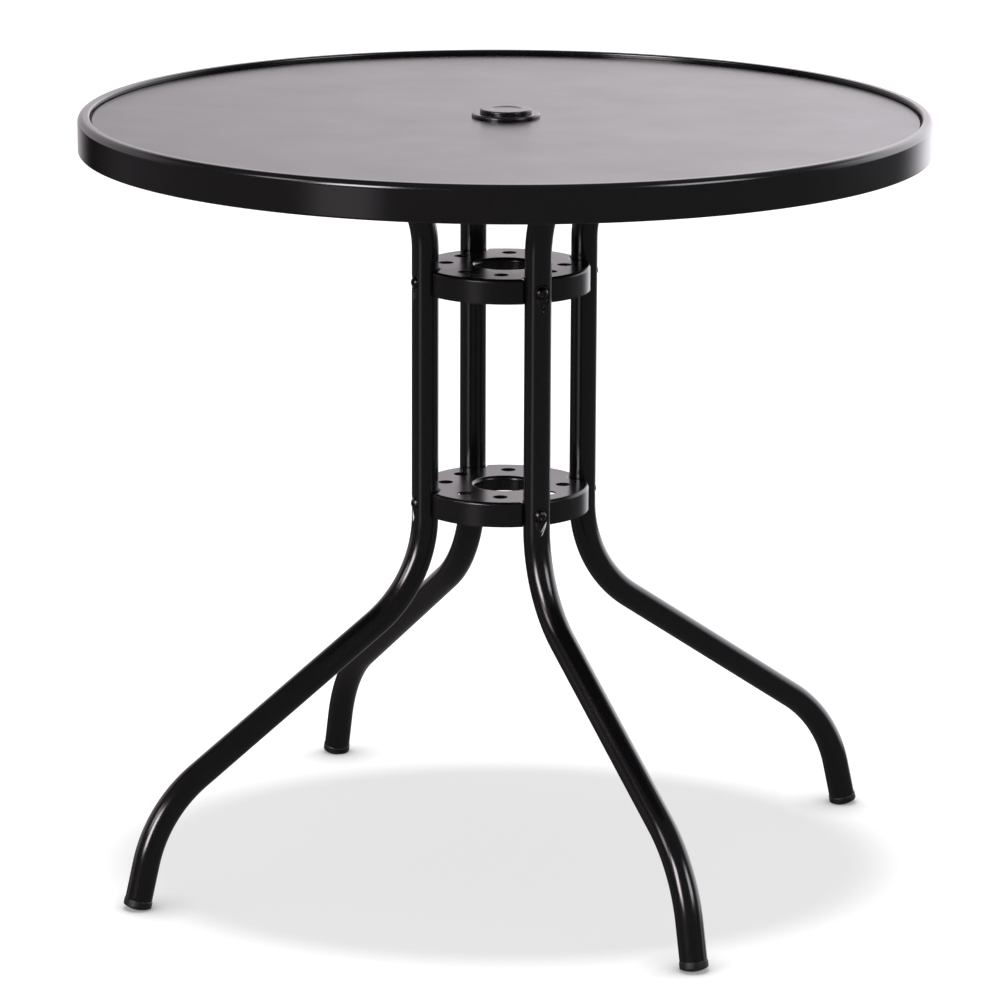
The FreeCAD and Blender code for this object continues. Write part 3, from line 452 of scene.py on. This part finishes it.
# %% Cap
NOTCH_ROOF, NOTCH_DEPTH, NOTCH_WIDTH, CAP_UNDER = 728.0, 2.6, 11.0, 727.1


def turned_solid(outline, count=96):
    """Skin of a turned piece whose outline starts and ends on the axis: those two points fan."""
    return skin(revolve(outline[outline[:, 0] > 1e-6], count), ends="fan")


def cap_head():
    """Turned head with a notch: below the notch's roof the side moves in by the notch's depth.

    The move fades in over 0.8 mm of arc at each end of the notch.
    """
    section = rounded([
        (0, CAP_TOP - 1.0, 0), (0, CAP_UNDER, 0), (PLUG_INSIDE, CAP_UNDER, 0.4),
        (PLUG_INSIDE, FLANGE_TOP, 0.2), (CAP_RADIUS, FLANGE_TOP, 0.4), (CAP_RADIUS, CAP_TOP, 1.4),
        (15.5, CAP_TOP, 3.0), (11.5, CAP_TOP - 0.8, 3.0),
    ], steps=12)
    side = np.flatnonzero((section[:, 0] > CAP_RADIUS - 0.3) & (section[:, 1] > NOTCH_ROOF + 0.1))[0]
    roof = [(CAP_RADIUS, NOTCH_ROOF - 0.1), (CAP_RADIUS, NOTCH_ROOF + 0.1)]
    points, faces = turned_solid(np.insert(section, side, roof, axis=0), 480)
    reach = np.hypot(points[:, 0], points[:, 1])
    inside = np.clip((NOTCH_WIDTH / 2 - np.abs(points[:, 1])) / 0.8 + 0.5, 0, 1) * (points[:, 0] > 0)
    side_wall = (points[:, 2] < NOTCH_ROOF) & (reach > 21.0)
    pushed = np.where(side_wall, np.minimum(reach, CAP_RADIUS - NOTCH_DEPTH * inside), reach)
    points[:, :2] *= (pushed / np.maximum(reach, 1e-9))[:, None]
    return points, faces


def cap_leg():
    """Curved bar: a rounded rectangle of arc and radius, with a snap bead that swells to 0.3 mm."""
    bar = rounded([(-5.6, PLUG_INSIDE, 0.5), (5.6, PLUG_INSIDE, 0.5), (5.6, PLUG_RADIUS, 0.5),
                   (-5.6, PLUG_RADIUS, 0.5)], steps=6)
    loop = np.vstack([bar, bar[:1]])
    length = np.concatenate([[0], np.cumsum(np.linalg.norm(np.diff(loop, axis=0), axis=1))])
    even = np.linspace(0, length[-1], 72, endpoint=False)
    arc, radius = np.interp(even, length, loop[:, 0]), np.interp(even, length, loop[:, 1])
    height = np.concatenate([np.linspace(726.7, 716.4, 8), np.linspace(716.2, 711.1, 36)])[:, None]
    middle = (PLUG_INSIDE + PLUG_RADIUS) / 2
    bead = 0.3 * np.exp(-((height - 713.5) / 0.8) ** 2) * (radius > middle)
    taper = 0.5 * np.clip((711.9 - height) / 0.8, 0, 1) ** 2
    radius = radius + bead - taper * (radius - middle)
    angle = math.radians(45) + arc * (1 - 0.1 * taper) / PLUG_RADIUS
    return skin(around(radius, height, angle), ends="fan")


cap = join([cap_head()] + [turned(cap_leg(), 90 * number) for number in range(4)])
make_piece("cap_plug", turned(cap, -94), plastic, ["umbrella_cap"], body="umbrella_cap")

# %% [markdown]
# ## The bent tubes
# Each leg is one tube: pressed flat at the top where it is bolted to the rim, bent down into the
# column, bent out again, and bent back towards upright just above the floor. Blender could bevel a
# curve, but then the section couldn't change along the way. Here a ring of points is carried
# along the middle line, so it can turn from a circle into the flat tab, and the press tool's dents
# round the bolts can push single points in.


# %% Runs and bends
def run(start, end, step):
    """Stations on a straight line: start + share (end - start), and the way it leads."""
    share = np.linspace(0, 1, max(2, int(math.dist(start, end) / step) + 1))[:, None]
    way = (np.array(end) - start) / math.dist(start, end)
    places = np.array(start) + share * (np.array(end) - start)
    return np.hstack([places, np.broadcast_to(way, places.shape)])


def bend(centre, radius, first, last, step=1.5):
    """Stations on an arc: centre + radius (cos a, sin a), a in degrees, and the way it leads."""
    angle = np.radians(np.linspace(first, last, int(abs(last - first) / step) + 1))
    turn = math.copysign(1, last - first)
    places = np.stack([centre[0] + radius * np.cos(angle), centre[1] + radius * np.sin(angle)], axis=-1)
    return np.hstack([places, turn * np.stack([-np.sin(angle), np.cos(angle)], axis=-1)])


print("a quarter bend of 98 mm has", len(bend((0, 0), 98, 90, 180)), "stations")

# %% [markdown]
# The line starts at the tab under the rim and ends in the foot. Where the run below the knee
# leaves the knee's arc isn't a size of its own: it has to meet the foot's leaning line at a given
# height, and its slope follows from that.


# %% Middle line of a leg
ARM_BEND, KNEE_BEND, ANKLE_BEND = 98.0, 121.0, 131.0
KNEE_HEIGHT, ANKLE_REACH = 346.0, 94.6
TAB_END, TAB_START, TUBE_START = 385.8, 351.8, 327.8


def middle_line():
    """Stations down the leg, each (x, z) and the way the line leads there.

    A station comes every 1.5 degrees in a bend and every 0.45 mm where there is a dent. With d the
    distance from the knee's centre to the ankle's corner, the slope of the run below the knee is
    atan2 of their offsets + asin(bend radius / d).
    """
    arm, column_top = COLUMN_X + ARM_BEND, ARM_HEIGHT - ARM_BEND
    knee = (COLUMN_X + KNEE_BEND, KNEE_HEIGHT)
    lean_out, lean_down = math.sin(FOOT_ANGLE), math.cos(FOOT_ANGLE)
    ankle = (FOOT_RADIUS - ANKLE_REACH * lean_out, ANKLE_REACH * lean_down)
    across, fall = ankle[0] - knee[0], knee[1] - ankle[1]
    angle = math.atan2(across, fall) + math.asin(KNEE_BEND / math.hypot(across, fall))
    slope, out, down = math.degrees(angle), math.sin(angle), math.cos(angle)
    knee_end = (knee[0] - KNEE_BEND * down, knee[1] - KNEE_BEND * out)
    setback = ANKLE_BEND * math.tan((angle - FOOT_ANGLE) / 2)
    start = (ankle[0] - setback * out, ankle[1] + setback * down)
    centre = (start[0] - ANKLE_BEND * down, start[1] - ANKLE_BEND * out)
    end = (ankle[0] + setback * lean_out, ankle[1] - setback * lean_down)
    foot_top = (FOOT_RADIUS - FOOT_HEAD * lean_out, FOOT_HEAD * lean_down)
    dents = [(COLUMN_X, height) for height in (586.0, 546.0, 373.0)]
    line = np.vstack([
        run((TAB_END, ARM_HEIGHT), (TAB_START, ARM_HEIGHT), 4),
        run((TAB_START, ARM_HEIGHT), (TUBE_START, ARM_HEIGHT), 0.8),
        run((TUBE_START, ARM_HEIGHT), (arm, ARM_HEIGHT), 10),
        bend((arm, column_top), ARM_BEND, 90, 180), run((COLUMN_X, column_top), dents[0], 5),
        run(dents[0], dents[1], 0.45), run(dents[1], dents[2], 10),
        run(dents[2], (COLUMN_X, KNEE_HEIGHT), 0.45), bend(knee, KNEE_BEND, 180, 186, 0.22),
        bend(knee, KNEE_BEND, 186, 180 + slope), run(knee_end, start, 10),
        bend(centre, ANKLE_BEND, slope, math.degrees(FOOT_ANGLE)), run(end, foot_top, 5),
    ])
    steps = np.linalg.norm(np.diff(line[:, :2], axis=0), axis=1)
    return line[np.concatenate([[True], steps > 1e-3])]


line = middle_line()
print("stations:", len(line), "last at", line[-1, :2].round(3))

# %% [markdown]
# ## Pressing the tube
# Two press tools shape the tube after it is bent. One pushes a flat seat for each bolt's head,
# round above the bolt and drawn to a point below it, so that the head doesn't stand proud. The
# metal at the edge of a dent can't turn sharply, so the two surfaces are blended over 0.8 mm.


# %% Dent round a bolt
def smooth_least(first, second, blend):
    """Least of two values, rounded where they cross: the lesser minus k h (1 - h), h from 0 to 1."""
    share = np.clip(0.5 + 0.5 * (second - first) / blend, 0, 1)
    return second + (first - second) * share - blend * share * (1 - share)


def dent_depth_line(lateral, rise):
    """How far the dent's wall lies outside the tube's middle, at a point beside and above the bolt.

    The tool's outline is a circle of 10.6 mm with two tangents that meet 22 mm below the bolt. At
    distance d inside that outline the wall stands at 14.7 - d / tan(35 degrees), and never below the
    dent's floor.
    """
    radius, tip, mouth, flank = 10.6, 22.0, 14.7, math.radians(35)
    tangent = (math.sqrt(1 - (radius / tip) ** 2), -radius / tip)
    side = np.abs(lateral)
    below = tangent[0] * rise - tangent[1] * side < 0
    inside = radius - np.where(below, tangent[0] * side + tangent[1] * rise, np.hypot(side, rise))
    wall = mouth - inside / math.tan(flank)
    return -smooth_least(-wall, np.full_like(inside, COLUMN_RADIUS - DENT_FLOOR), 0.5)


print("dent's wall beside the bolt:", dent_depth_line(np.array([0.0, 5, 10]), np.zeros(3)).round(2))

# %% [markdown]
# The other tool flattens the tube's end between two plates: the top and bottom become flats and
# the sides fold to half circles. Tab, bends, dents and the bore at the open end are one grid of
# rings, so a leg is worked out as a whole and then set out four times.


# %% Leg
def leg_skin(columns=144):
    """Rings round the middle line, each square to it: line + a sideways + b across.

    A ring is 12.7 (cos t, sin t). Towards the tab it becomes 31 x 4 mm of flat with folds of radius
    2 mm at its sides, by a share that follows 3 w^2 - 2 w^3. A fold takes up the first 15.5 degrees
    of the ring's turn. The dents face away from the pole, so they are pushed along (cos f, sin f)
    with f the turn of the column against the leg's plane.
    """
    turn = np.linspace(0, 2 * math.pi, columns, endpoint=False)
    round_ring = TUBE_RADIUS * np.stack([np.cos(turn), np.sin(turn)], axis=-1)
    corner = np.degrees(np.arctan2(np.abs(np.sin(turn)), np.abs(np.cos(turn))))
    half_flat, fold_share, fold_radius = 15.5, 15.5, ARM_HEIGHT - TAB_BOTTOM
    fold = np.radians(np.minimum(corner, fold_share) / fold_share * 90)
    aside = np.where(corner < fold_share, half_flat + fold_radius * np.cos(fold),
                     half_flat * (90 - corner) / (90 - fold_share))
    flat_ring = np.stack([aside, fold_radius * np.sin(fold)], axis=-1) * np.sign(round_ring.round(6))
    share = np.clip((line[:, 0] - TUBE_START) / (TAB_START - TUBE_START), 0, 1)
    share = share * (line[:, 1] > ARM_HEIGHT - 10)
    share = (3 * share ** 2 - 2 * share ** 3)[:, None, None]
    ring = (1 - share) * round_ring + share * flat_ring
    across = np.stack([line[:, 3], -line[:, 2]], axis=-1)[:, None]
    plane = line[:, None, :2] + ring[:, :, 1:] * across
    points = np.stack([plane[..., 0], ring[..., 0], plane[..., 1]], axis=-1)
    cos, sin = math.cos(COLUMN_TURN + SKEW), -math.sin(COLUMN_TURN + SKEW)
    for bolt in HUB_BOLT_HEIGHTS.values():
        rise = points[..., 2] - bolt
        away = (points[..., 0] - COLUMN_X) * cos + points[..., 1] * sin
        beside = points[..., 1] * cos - (points[..., 0] - COLUMN_X) * sin
        pressed = smooth_least(away, dent_depth_line(beside, rise), 0.8)
        pushed = np.where((np.abs(rise) < 30) & (away > 0) & (away < 28), pressed - away, 0)
        points[..., :2] += pushed[..., None] * [cos, sin]
    tab_end = points[:1] * [1, 0.97, 1]
    tab_end[..., 2] = ARM_HEIGHT + (points[:1, :, 2] - ARM_HEIGHT) * 0.8
    points[0, :, 0] -= 0.4
    middle = line[-1, :2]
    back_up = middle - line[-1, 2:] * np.array([0.0, 5.0, 30.0])[:, None]
    bore = back_up[:, None] + round_ring[None, :, 1:] * BORE_RADIUS / TUBE_RADIUS * across[-1]
    sideways = np.broadcast_to(round_ring[:, 0] * BORE_RADIUS / TUBE_RADIUS, bore.shape[:2])
    bore = np.stack([bore[..., 0], sideways, bore[..., 1]], axis=-1)
    return skin(np.concatenate([tab_end, points, bore]), ends="fan")


def swung(part):
    """Swing a piece of a leg by the skew about the bolt at (b, 0): b + turn (p - b)."""
    bolt = [ARM_BOLT_RADIUS, 0, 0]
    points, faces = turned((part[0] - bolt, part[1]), math.degrees(SKEW))
    return points + bolt, faces


leg = swung(leg_skin())
for place, angle in LEGS.items():
    make_piece("bent_tube_" + place, turned(leg, angle), powder_coat, ["leg_" + place])

# %% [markdown]
# ## Bolts, nuts and washers
# A bolt is turned, so circles make most of it, but its socket or head is a hexagon. Both fit one
# grid: every row has a height and a radius for each direction, and a hexagon's radius is its half
# width divided by the cosine of the angle from the nearest flat. The thread is a wave in the radius
# that moves round as it moves along.


# %% Screws
def hexagon(half_width, angle):
    """Radius of a hexagon in a direction: half width / cos(angle from the middle of a side)."""
    return half_width / np.cos((angle + math.pi / 6) % (math.pi / 3) - math.pi / 6)


def screw(head, thread_start, thread_end, columns=36):
    """Skin of a screw along z, head first. A head row is (radius or half width, height, kind).

    Kind 0 is a circle, 1 a hexagon, and 2 a hexagon whose corners fall by 0.577 times what they
    stand out. The thread's radius is 3 - 0.55 |2 f - 1|, where f is the broken part of height - turns.
    """
    angle = np.linspace(0, 2 * math.pi, columns, endpoint=False)
    size, height, hexagonal = (np.array(column, dtype=float)[:, None] for column in zip(*head))
    radius = np.where(hexagonal > 0, hexagon(size, angle), size + 0 * angle)
    fall = np.where(hexagonal == 2, (radius - size) * 0.577, 0) * np.sign(height[0] - thread_end)
    height = height - fall
    step = math.copysign(0.16, thread_end - thread_start)
    along = np.arange(thread_start, thread_end, step)[:, None]
    wave = 3.0 - 0.55 * np.abs(2 * ((along - angle / (2 * math.pi)) % 1) - 1)
    wave = np.minimum(wave, 2.3 + np.abs(along - thread_end))
    return skin(np.concatenate([around(radius, height, angle), around(wave, along, angle)]), ends="fan")


print("corner of a hexagon 10 mm wide:", round(float(hexagon(5.0, math.pi / 6)), 3), "mm out")

# %% [markdown]
# Bolts with a rounded button head and a hexagonal socket go through each tube into the hubs, and
# so they lie flat and point at the pole. Bolts with a plain hexagon for a head stand upright in the
# brackets at the arms' ends. Each kind is drawn once and set out four times.


# %% Bolts
def lay_outwards(part, radius, height):
    """Move a part whose axis is +z so that its axis points outwards from the pole: z becomes x."""
    points, faces = part
    return points[:, [2, 0, 1]] + [radius, 0, height], faces


def at_each_leg(part, turn=0.0):
    """Four copies of a part, one in the direction of each leg and turned a little more."""
    return join([turned(part, angle + turn) for angle in LEGS.values()])


dome_radius, dome_side, dome_low = 6.0, 0.401, -2.154
dome_angle = np.radians(np.linspace(65.4, 21.5, 12))
dome_rows = zip(dome_side + dome_radius * np.cos(dome_angle), dome_low + dome_radius * np.sin(dome_angle),
                0 * dome_angle)
button_head = [(1.7, 1.4, 1), (2.0, 1.55, 1), (2.0, 3.12, 1), (2.4, 3.3, 0), (2.85, 3.3, 0)]
button_head += [*dome_rows, (5.95, 0.0, 0), (3.1, 0.0, 0), (3.0, -0.15, 0), (3.0, -18.0, 0)]
button_bolt = lay_outwards(screw(button_head, -18.2, BOLT_END - DENT_FLOOR), DENT_FLOOR, 0)
hex_head = [(4.55, -4.2, 0), (5.0, -4.2, 2), (5.0, -0.45, 1), (4.75, -0.25, 0), (4.75, 0.0, 0),
            (3.1, 0.0, 0), (3.0, 0.15, 0), (3.0, 7.0, 0)]
arm_bolt = screw(hex_head, 7.2, 14.9)
arm_bolt = (arm_bolt[0] + [ARM_BOLT_RADIUS, 0, TAB_BOTTOM], arm_bolt[1])
hub_turn = -math.degrees(COLUMN_TURN)
for side, height in HUB_BOLT_HEIGHTS.items():
    bolts = at_each_leg((button_bolt[0] + [0, 0, height], button_bolt[1]), hub_turn)
    make_piece(side + "_button_bolts", bolts, black_bolt, [side + "_hub_bolts"])
make_piece("arm_screws", at_each_leg(arm_bolt), black_bolt, ["arm_bolts"])

# %% [markdown]
# Nuts are cut from hexagonal bar, and a cone takes the sharp corners off both faces. Their skin is
# a closed loop of rings: up the outside and down through the hole. Washers are punched from sheet,
# so their edges are round on the side where the punch went in.


# %% Nuts and washers
def nut(columns=72):
    """Hexagon 10 mm wide whose corners are cut by a cone: they drop as they go out."""
    angle = np.linspace(0, 2 * math.pi, columns, endpoint=False)
    flats = hexagon(5.0, angle)
    fall = (flats - 4.7) * 0.577
    rows = [(3.05, 0.5), (3.6, 0.0), (4.7, 0.0), (flats, fall), (flats, NUT_HEIGHT - fall),
            (4.7, NUT_HEIGHT), (3.6, NUT_HEIGHT), (3.05, NUT_HEIGHT - 0.5)]
    return skin(np.array([around(radius, height, angle) for radius, height in rows]))


washer_section = rounded([(3.05, 0.0, 0.1), (6.4, 0.0, 0.15), (6.4, WASHER_HEIGHT, 0.4),
                          (3.05, WASHER_HEIGHT, 0.3)], steps=5)
washer = skin(revolve(washer_section, 64))
for side, height in HUB_BOLT_HEIGHTS.items():
    washers = at_each_leg(lay_outwards(washer, NUT_FACE, height), hub_turn)
    nuts = at_each_leg(lay_outwards(nut(), NUT_FACE - NUT_HEIGHT, height), hub_turn)
    make_piece(side + "_inner_washers", washers, zinc, [side + "_hub_washers"])
    make_piece(side + "_inner_nuts", nuts, zinc, [side + "_hub_nuts"])
bracket_washer = (washer[0] + [ARM_BOLT_RADIUS, 0, BRACKET_TOP], washer[1])
bracket_nut = (nut()[0] + [ARM_BOLT_RADIUS, 0, BRACKET_TOP + WASHER_HEIGHT], nut()[1])
make_piece("bracket_washers", at_each_leg(bracket_washer), zinc, ["arm_washers"])
make_piece("bracket_nuts", at_each_leg(bracket_nut), zinc, ["arm_nuts"])

# %% [markdown]
# ## Feet
# A moulded foot closes the end of each tube. It is turned in line with the tube, which leans by
# 13.6 degrees, so its domed sole would touch the ground at one point. It wears flat there, and its
# lowest points are simply held at the height of the floor.


# %% Feet
def foot():
    """Domed sole, a head a little wider than the tube and a stem in it, leaned and cut at z = 0.

    A point at (across, up) in the foot moves to (across cos f - up sin f, across sin f + up cos f).
    """
    sole, head, stem, stem_top = 26.0, 13.3, 11.3, FOOT_HEAD + 22
    across = np.linspace(0.8, head - 0.4, 18)
    dome = np.stack([across, sole - 0.8 - np.sqrt(sole ** 2 - across ** 2)], axis=-1)
    rest = rounded([(10.0, 1.6, 0), (head, 3.0, 0.6), (head, FOOT_HEAD, 1.2), (stem, FOOT_HEAD, 0.2),
                    (stem, stem_top, 2.0), (0.1, stem_top, 0)])
    rest = rest[(rest[:, 0] > head - 0.35) | (rest[:, 1] > 9.0)]
    points, faces = skin(revolve(np.vstack([dome, rest]), 120), ends="fan")
    cos, sin = math.cos(FOOT_ANGLE), math.sin(FOOT_ANGLE)
    x, up = points[:, 0].copy(), points[:, 2].copy()
    points[:, 0] = FOOT_RADIUS + x * cos - up * sin
    points[:, 2] = np.maximum(x * sin + up * cos, 0)
    return points, faces


for place, angle in LEGS.items():
    make_piece("foot_" + place, turned(swung(foot()), angle), foot_rubber,
               ["foot_cap_" + place])

# %% [markdown]
# ## Pieces that stay as the CAD model has them
# The two hubs, the flat ring under the glass, the brackets and the ring that locks the grommet
# have their true shape in CAD already, with every rounded edge. They only need a finish.

# %% Finishes for the CAD pieces
dressed = {"upper_hub": hub_coat, "lower_hub": hub_coat, "glass_ledge": powder_coat,
           "grommet_lock_ring": plastic, **{"rim_bracket_" + place: powder_coat for place in LEGS}}
for name, finish in dressed.items():
    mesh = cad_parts[name].data
    mesh.materials.clear()
    mesh.materials.append(finish)
print(len(dressed), "CAD pieces dressed")

# %% [markdown]
# ## Floor
# A product stands on white paper that has no horizon. To the camera the paper is partly a light of
# its own, so that it comes out white where nothing shades it and keeps a soft grey shadow under the
# table. In the photograph that shadow is a little smaller than the top and has a soft edge, so the
# paper shines more outside an oval of that size. Close to a foot it shines less, because little
# light gets in between foot and paper. To every other ray it is plain white paper. Glossy rays
# don't meet it, because the world holds what the steel mirrors.

# %% Paper that shines round a shadow
TOWARDS_BACK, TOWARDS_RIGHT = (-0.3124, 0.9499, 0.0), (0.9499, 0.3124, 0.0)
paper = bpy.data.materials.new("white_paper")
paper.use_nodes = True
tree = paper.node_tree
tree.nodes.remove(tree.nodes["Principled BSDF"])
spot = add_node(tree, "TexCoord").outputs["Object"]
shadow_half_width, shadow_half_depth = 0.372, 0.311
oval = [add_node(tree, "VectorMath", {0: spot, 1: tuple(part / half for part in direction)},
                 operation="DOT_PRODUCT").outputs["Value"]
        for direction, half in ((TOWARDS_RIGHT, shadow_half_width), (TOWARDS_BACK, shadow_half_depth))]
nearer = add_node(tree, "Math", {0: oval[1], 1: 0.05}, operation="ADD").outputs[0]
across_oval = add_node(tree, "CombineXYZ", {"X": oval[0], "Y": nearer}).outputs[0]
from_middle = add_node(tree, "VectorMath", {0: across_oval}, operation="LENGTH").outputs["Value"]
outside = add_node(tree, "MapRange", {"Value": from_middle, "From Min": 0.88, "From Max": 1.11,
                                      "To Min": 0.58, "To Max": 0.85},
                   interpolation_type="SMOOTHSTEP").outputs["Result"]
closeness = add_node(tree, "AmbientOcclusion", {"Distance": 0.045}, samples=8).outputs["AO"]
contact = add_node(tree, "MapRange", {"Value": closeness, "From Min": 0.5, "To Min": 0.3}).outputs["Result"]
shine = add_node(tree, "Math", {0: outside, 1: contact}, operation="MULTIPLY").outputs[0]
seen = add_node(tree, "LightPath").outputs["Is Camera Ray"]
albedo = add_node(tree, "MapRange", {"Value": seen, "To Min": 0.85, "To Max": 0.43})
matt = add_node(tree, "BsdfDiffuse", {"Color": albedo.outputs["Result"]})
own_light = add_node(tree, "Math", {0: seen, 1: shine}, operation="MULTIPLY").outputs[0]
glow = add_node(tree, "Emission", {"Strength": own_light})
sheet = add_node(tree, "AddShader", {0: matt.outputs[0], 1: glow.outputs[0]})
from_below = add_node(tree, "NewGeometry").outputs["Backfacing"]
clear = add_node(tree, "BsdfTransparent")
one_sided = add_node(tree, "MixShader", {0: from_below, 1: sheet.outputs[0], 2: clear.outputs[0]})
tree.links.new(one_sided.outputs[0], tree.nodes["Material Output"].inputs["Surface"])
print(paper.name, "of", len(tree.nodes), "nodes")

# %% [markdown]
# The paper is one flat square, so large that the camera never sees its edge. It is part of the
# stage and hangs on none of the table's bodies.

# %% Floor
half_side = 40.0
sheet_corners = np.array([[-1, -1, 0], [1, -1, 0], [1, 1, 0], [-1, 1, 0]]) * half_side
floor_mesh = bpy.data.meshes.new("floor")
floor_mesh.from_pydata(sheet_corners, [], [(0, 1, 2, 3)])
floor_mesh.materials.append(paper)
floor = bpy.data.objects.new("floor", floor_mesh)
bpy.context.scene.collection.objects.link(floor)
floor.visible_glossy = False
print("floor of", 2 * half_side, "metres")

# %% [markdown]
# ## Light
# Black gloss has no colour of its own to show: what the eye reads is the room in its surface. So
# the room matters more than the lamps, and it is drawn as a sum of patches of light. A patch is a
# strength times a smooth step at each of its edges. An edge is a measure of the direction that a
# ray leaves in, where the step starts and ends on it, and the levels before and after.


# %% Patches of light
scene = bpy.context.scene
scene.view_settings.view_transform = "Standard"
world = bpy.data.worlds.new("studio")
scene.world = world
world.use_nodes = True
world.cycles.sampling_method = "NONE"
tree = world.node_tree

way = add_node(tree, "TexCoord").outputs["Generated"]
along_back, along_right = [add_node(tree, "VectorMath", {0: way, 1: direction},
                                    operation="DOT_PRODUCT").outputs["Value"]
                           for direction in (TOWARDS_BACK, TOWARDS_RIGHT)]
up = add_node(tree, "SeparateXYZ", {0: way}).outputs["Z"]
to_front = add_node(tree, "Math", {0: along_back, 1: -1.0}, operation="MULTIPLY").outputs[0]
azimuth = add_node(tree, "Math", {0: along_right, 1: to_front}, operation="ARCTAN2").outputs[0]


def patch(strength, *edges):
    """Strength times one smooth step for each edge (measure, start, end, level before, level after)."""
    light = strength
    for measure, start, end, before, after in edges:
        edge = add_node(tree, "MapRange", {"Value": measure, "From Min": start, "From Max": end,
                                           "To Min": before, "To Max": after},
                        interpolation_type="SMOOTHSTEP").outputs["Result"]
        light = add_node(tree, "Math", {0: edge, 1: light}, operation="MULTIPLY").outputs[0]
    return light


def window(strength, left, right, low, high, blur):
    """Patch between two azimuths, in degrees right of the camera, and two heights, as sines."""
    return patch(strength, (azimuth, math.radians(left - 4), math.radians(left + 4), 0, 1),
                 (azimuth, math.radians(right - 4), math.radians(right + 4), 1, 0),
                 (up, low - blur, low + blur, 0, 1), (up, high - blur, high + blur, 1, 0))


print("ready to draw the room with", len(tree.nodes), "nodes")

# %% [markdown]
# The pale wall behind grows brighter to the right and gives the glass its grey, under a dark
# ceiling. In front it is dark. The lower part of the wall shows in the sides of the tubes. High
# windows on both sides draw the short bright lines on the bends, and a faint low panel puts a sheen
# on the hubs.

# %% The room's patches
over_horizon, under_horizon = (up, -0.13, -0.05, 0, 1), (up, -0.13, -0.05, 1, 0)
patches = [
    patch(1.0, over_horizon, (along_back, 0.0, 0.5, 0, 1), (along_right, -0.3, 0.5, 0.74, 2.5),
          (up, 0.42, 0.66, 1, 0.08)),
    patch(0.12, over_horizon, (along_back, 0.0, 0.5, 1, 0)),
    patch(1.0, under_horizon, (along_back, 0.45, 0.85, 0, 1), (along_right, -0.55, -0.2, 0, 1),
          (along_right, -0.1, 0.3, 0.7, 2.0), (along_right, 0.45, 0.8, 1, 0.1),
          (up, -0.30, -0.20, 0.15, 1)),
    patch(0.14, under_horizon, (along_back, 0.45, 0.85, 1, 0)),
    window(20.0, -50, -32, 0.17, 0.54, 0.06),
    window(6.0, -74, -58, 0.38, 0.60, 0.05),
    window(8.0, 46, 70, 0.34, 0.66, 0.08),
    window(0.7, -52, -34, -0.34, -0.10, 0.05),
]
room = 0.0
for light in patches:
    room = add_node(tree, "Math", {0: room, 1: light}, operation="ADD").outputs[0]
print("room of", len(patches), "patches of light")

# %% [markdown]
# Only mirrored rays see that room. Matt surfaces get an even soft light and a lamp straight
# overhead, which together add up to 1, the light at which a colour looks as it is written. The
# camera itself sees white.

# %% Even light, mirrored room and lamp
EVEN_LIGHT, LAMP = 0.65, 0.35
ray = add_node(tree, "LightPath").outputs
mirrored = add_node(tree, "Math", {0: ray["Is Glossy Ray"], 1: ray["Is Transmission Ray"]},
                    operation="MAXIMUM").outputs[0]
level = add_node(tree, "Mix", {"Factor": mirrored, 2: EVEN_LIGHT, 3: room}).outputs[0]
level = add_node(tree, "Mix", {"Factor": ray["Is Camera Ray"], 2: level, 3: 1.0}).outputs[0]
right_side = add_node(tree, "MapRange", {"Value": along_right, "From Min": -0.2, "From Max": 0.5},
                      interpolation_type="SMOOTHSTEP").outputs["Result"]
wall_tint = add_node(tree, "Mix", {"Factor": right_side, 6: (1.0, 0.925, 0.975, 1),
                                   7: (0.98, 0.955, 1.01, 1)}, data_type="RGBA").outputs[2]
tint = add_node(tree, "Mix", {"Factor": mirrored, 6: (1, 1, 1, 1), 7: wall_tint},
                data_type="RGBA").outputs[2]
tree.links.new(tint, tree.nodes["Background"].inputs["Color"])
tree.links.new(level, tree.nodes["Background"].inputs["Strength"])

lamp = bpy.data.objects.new("overhead_lamp", bpy.data.lights.new("overhead_lamp", "SUN"))
lamp.data.energy = LAMP * math.pi
lamp.data.angle = math.radians(3.0)
lamp.visible_glossy = False
scene.collection.objects.link(lamp)
print("even light", EVEN_LIGHT, "and lamp", LAMP)

# %% [markdown]
# ## Camera
# The camera stands in front and to the right, four and a half metres away and well above the top,
# with a long lens. The ellipses of the rim and the places of the four feet in the photograph fixed
# it.

# %% Camera
camera = bpy.data.objects.new("camera", bpy.data.cameras.new("camera"))
camera.data.lens = 174.20
camera.data.sensor_width = 36.0
stand = Matrix.Translation((1.3975, -4.2625, 1.4487))
heading = Matrix.Rotation(math.radians(18.204), 4, "Z") @ Matrix.Rotation(math.radians(76.273), 4, "X")
camera.matrix_world = stand @ heading @ Matrix.Rotation(math.radians(0.245), 4, "Z")
scene.collection.objects.link(camera)
scene.camera = camera
print("camera at", [round(value, 3) for value in camera.location])
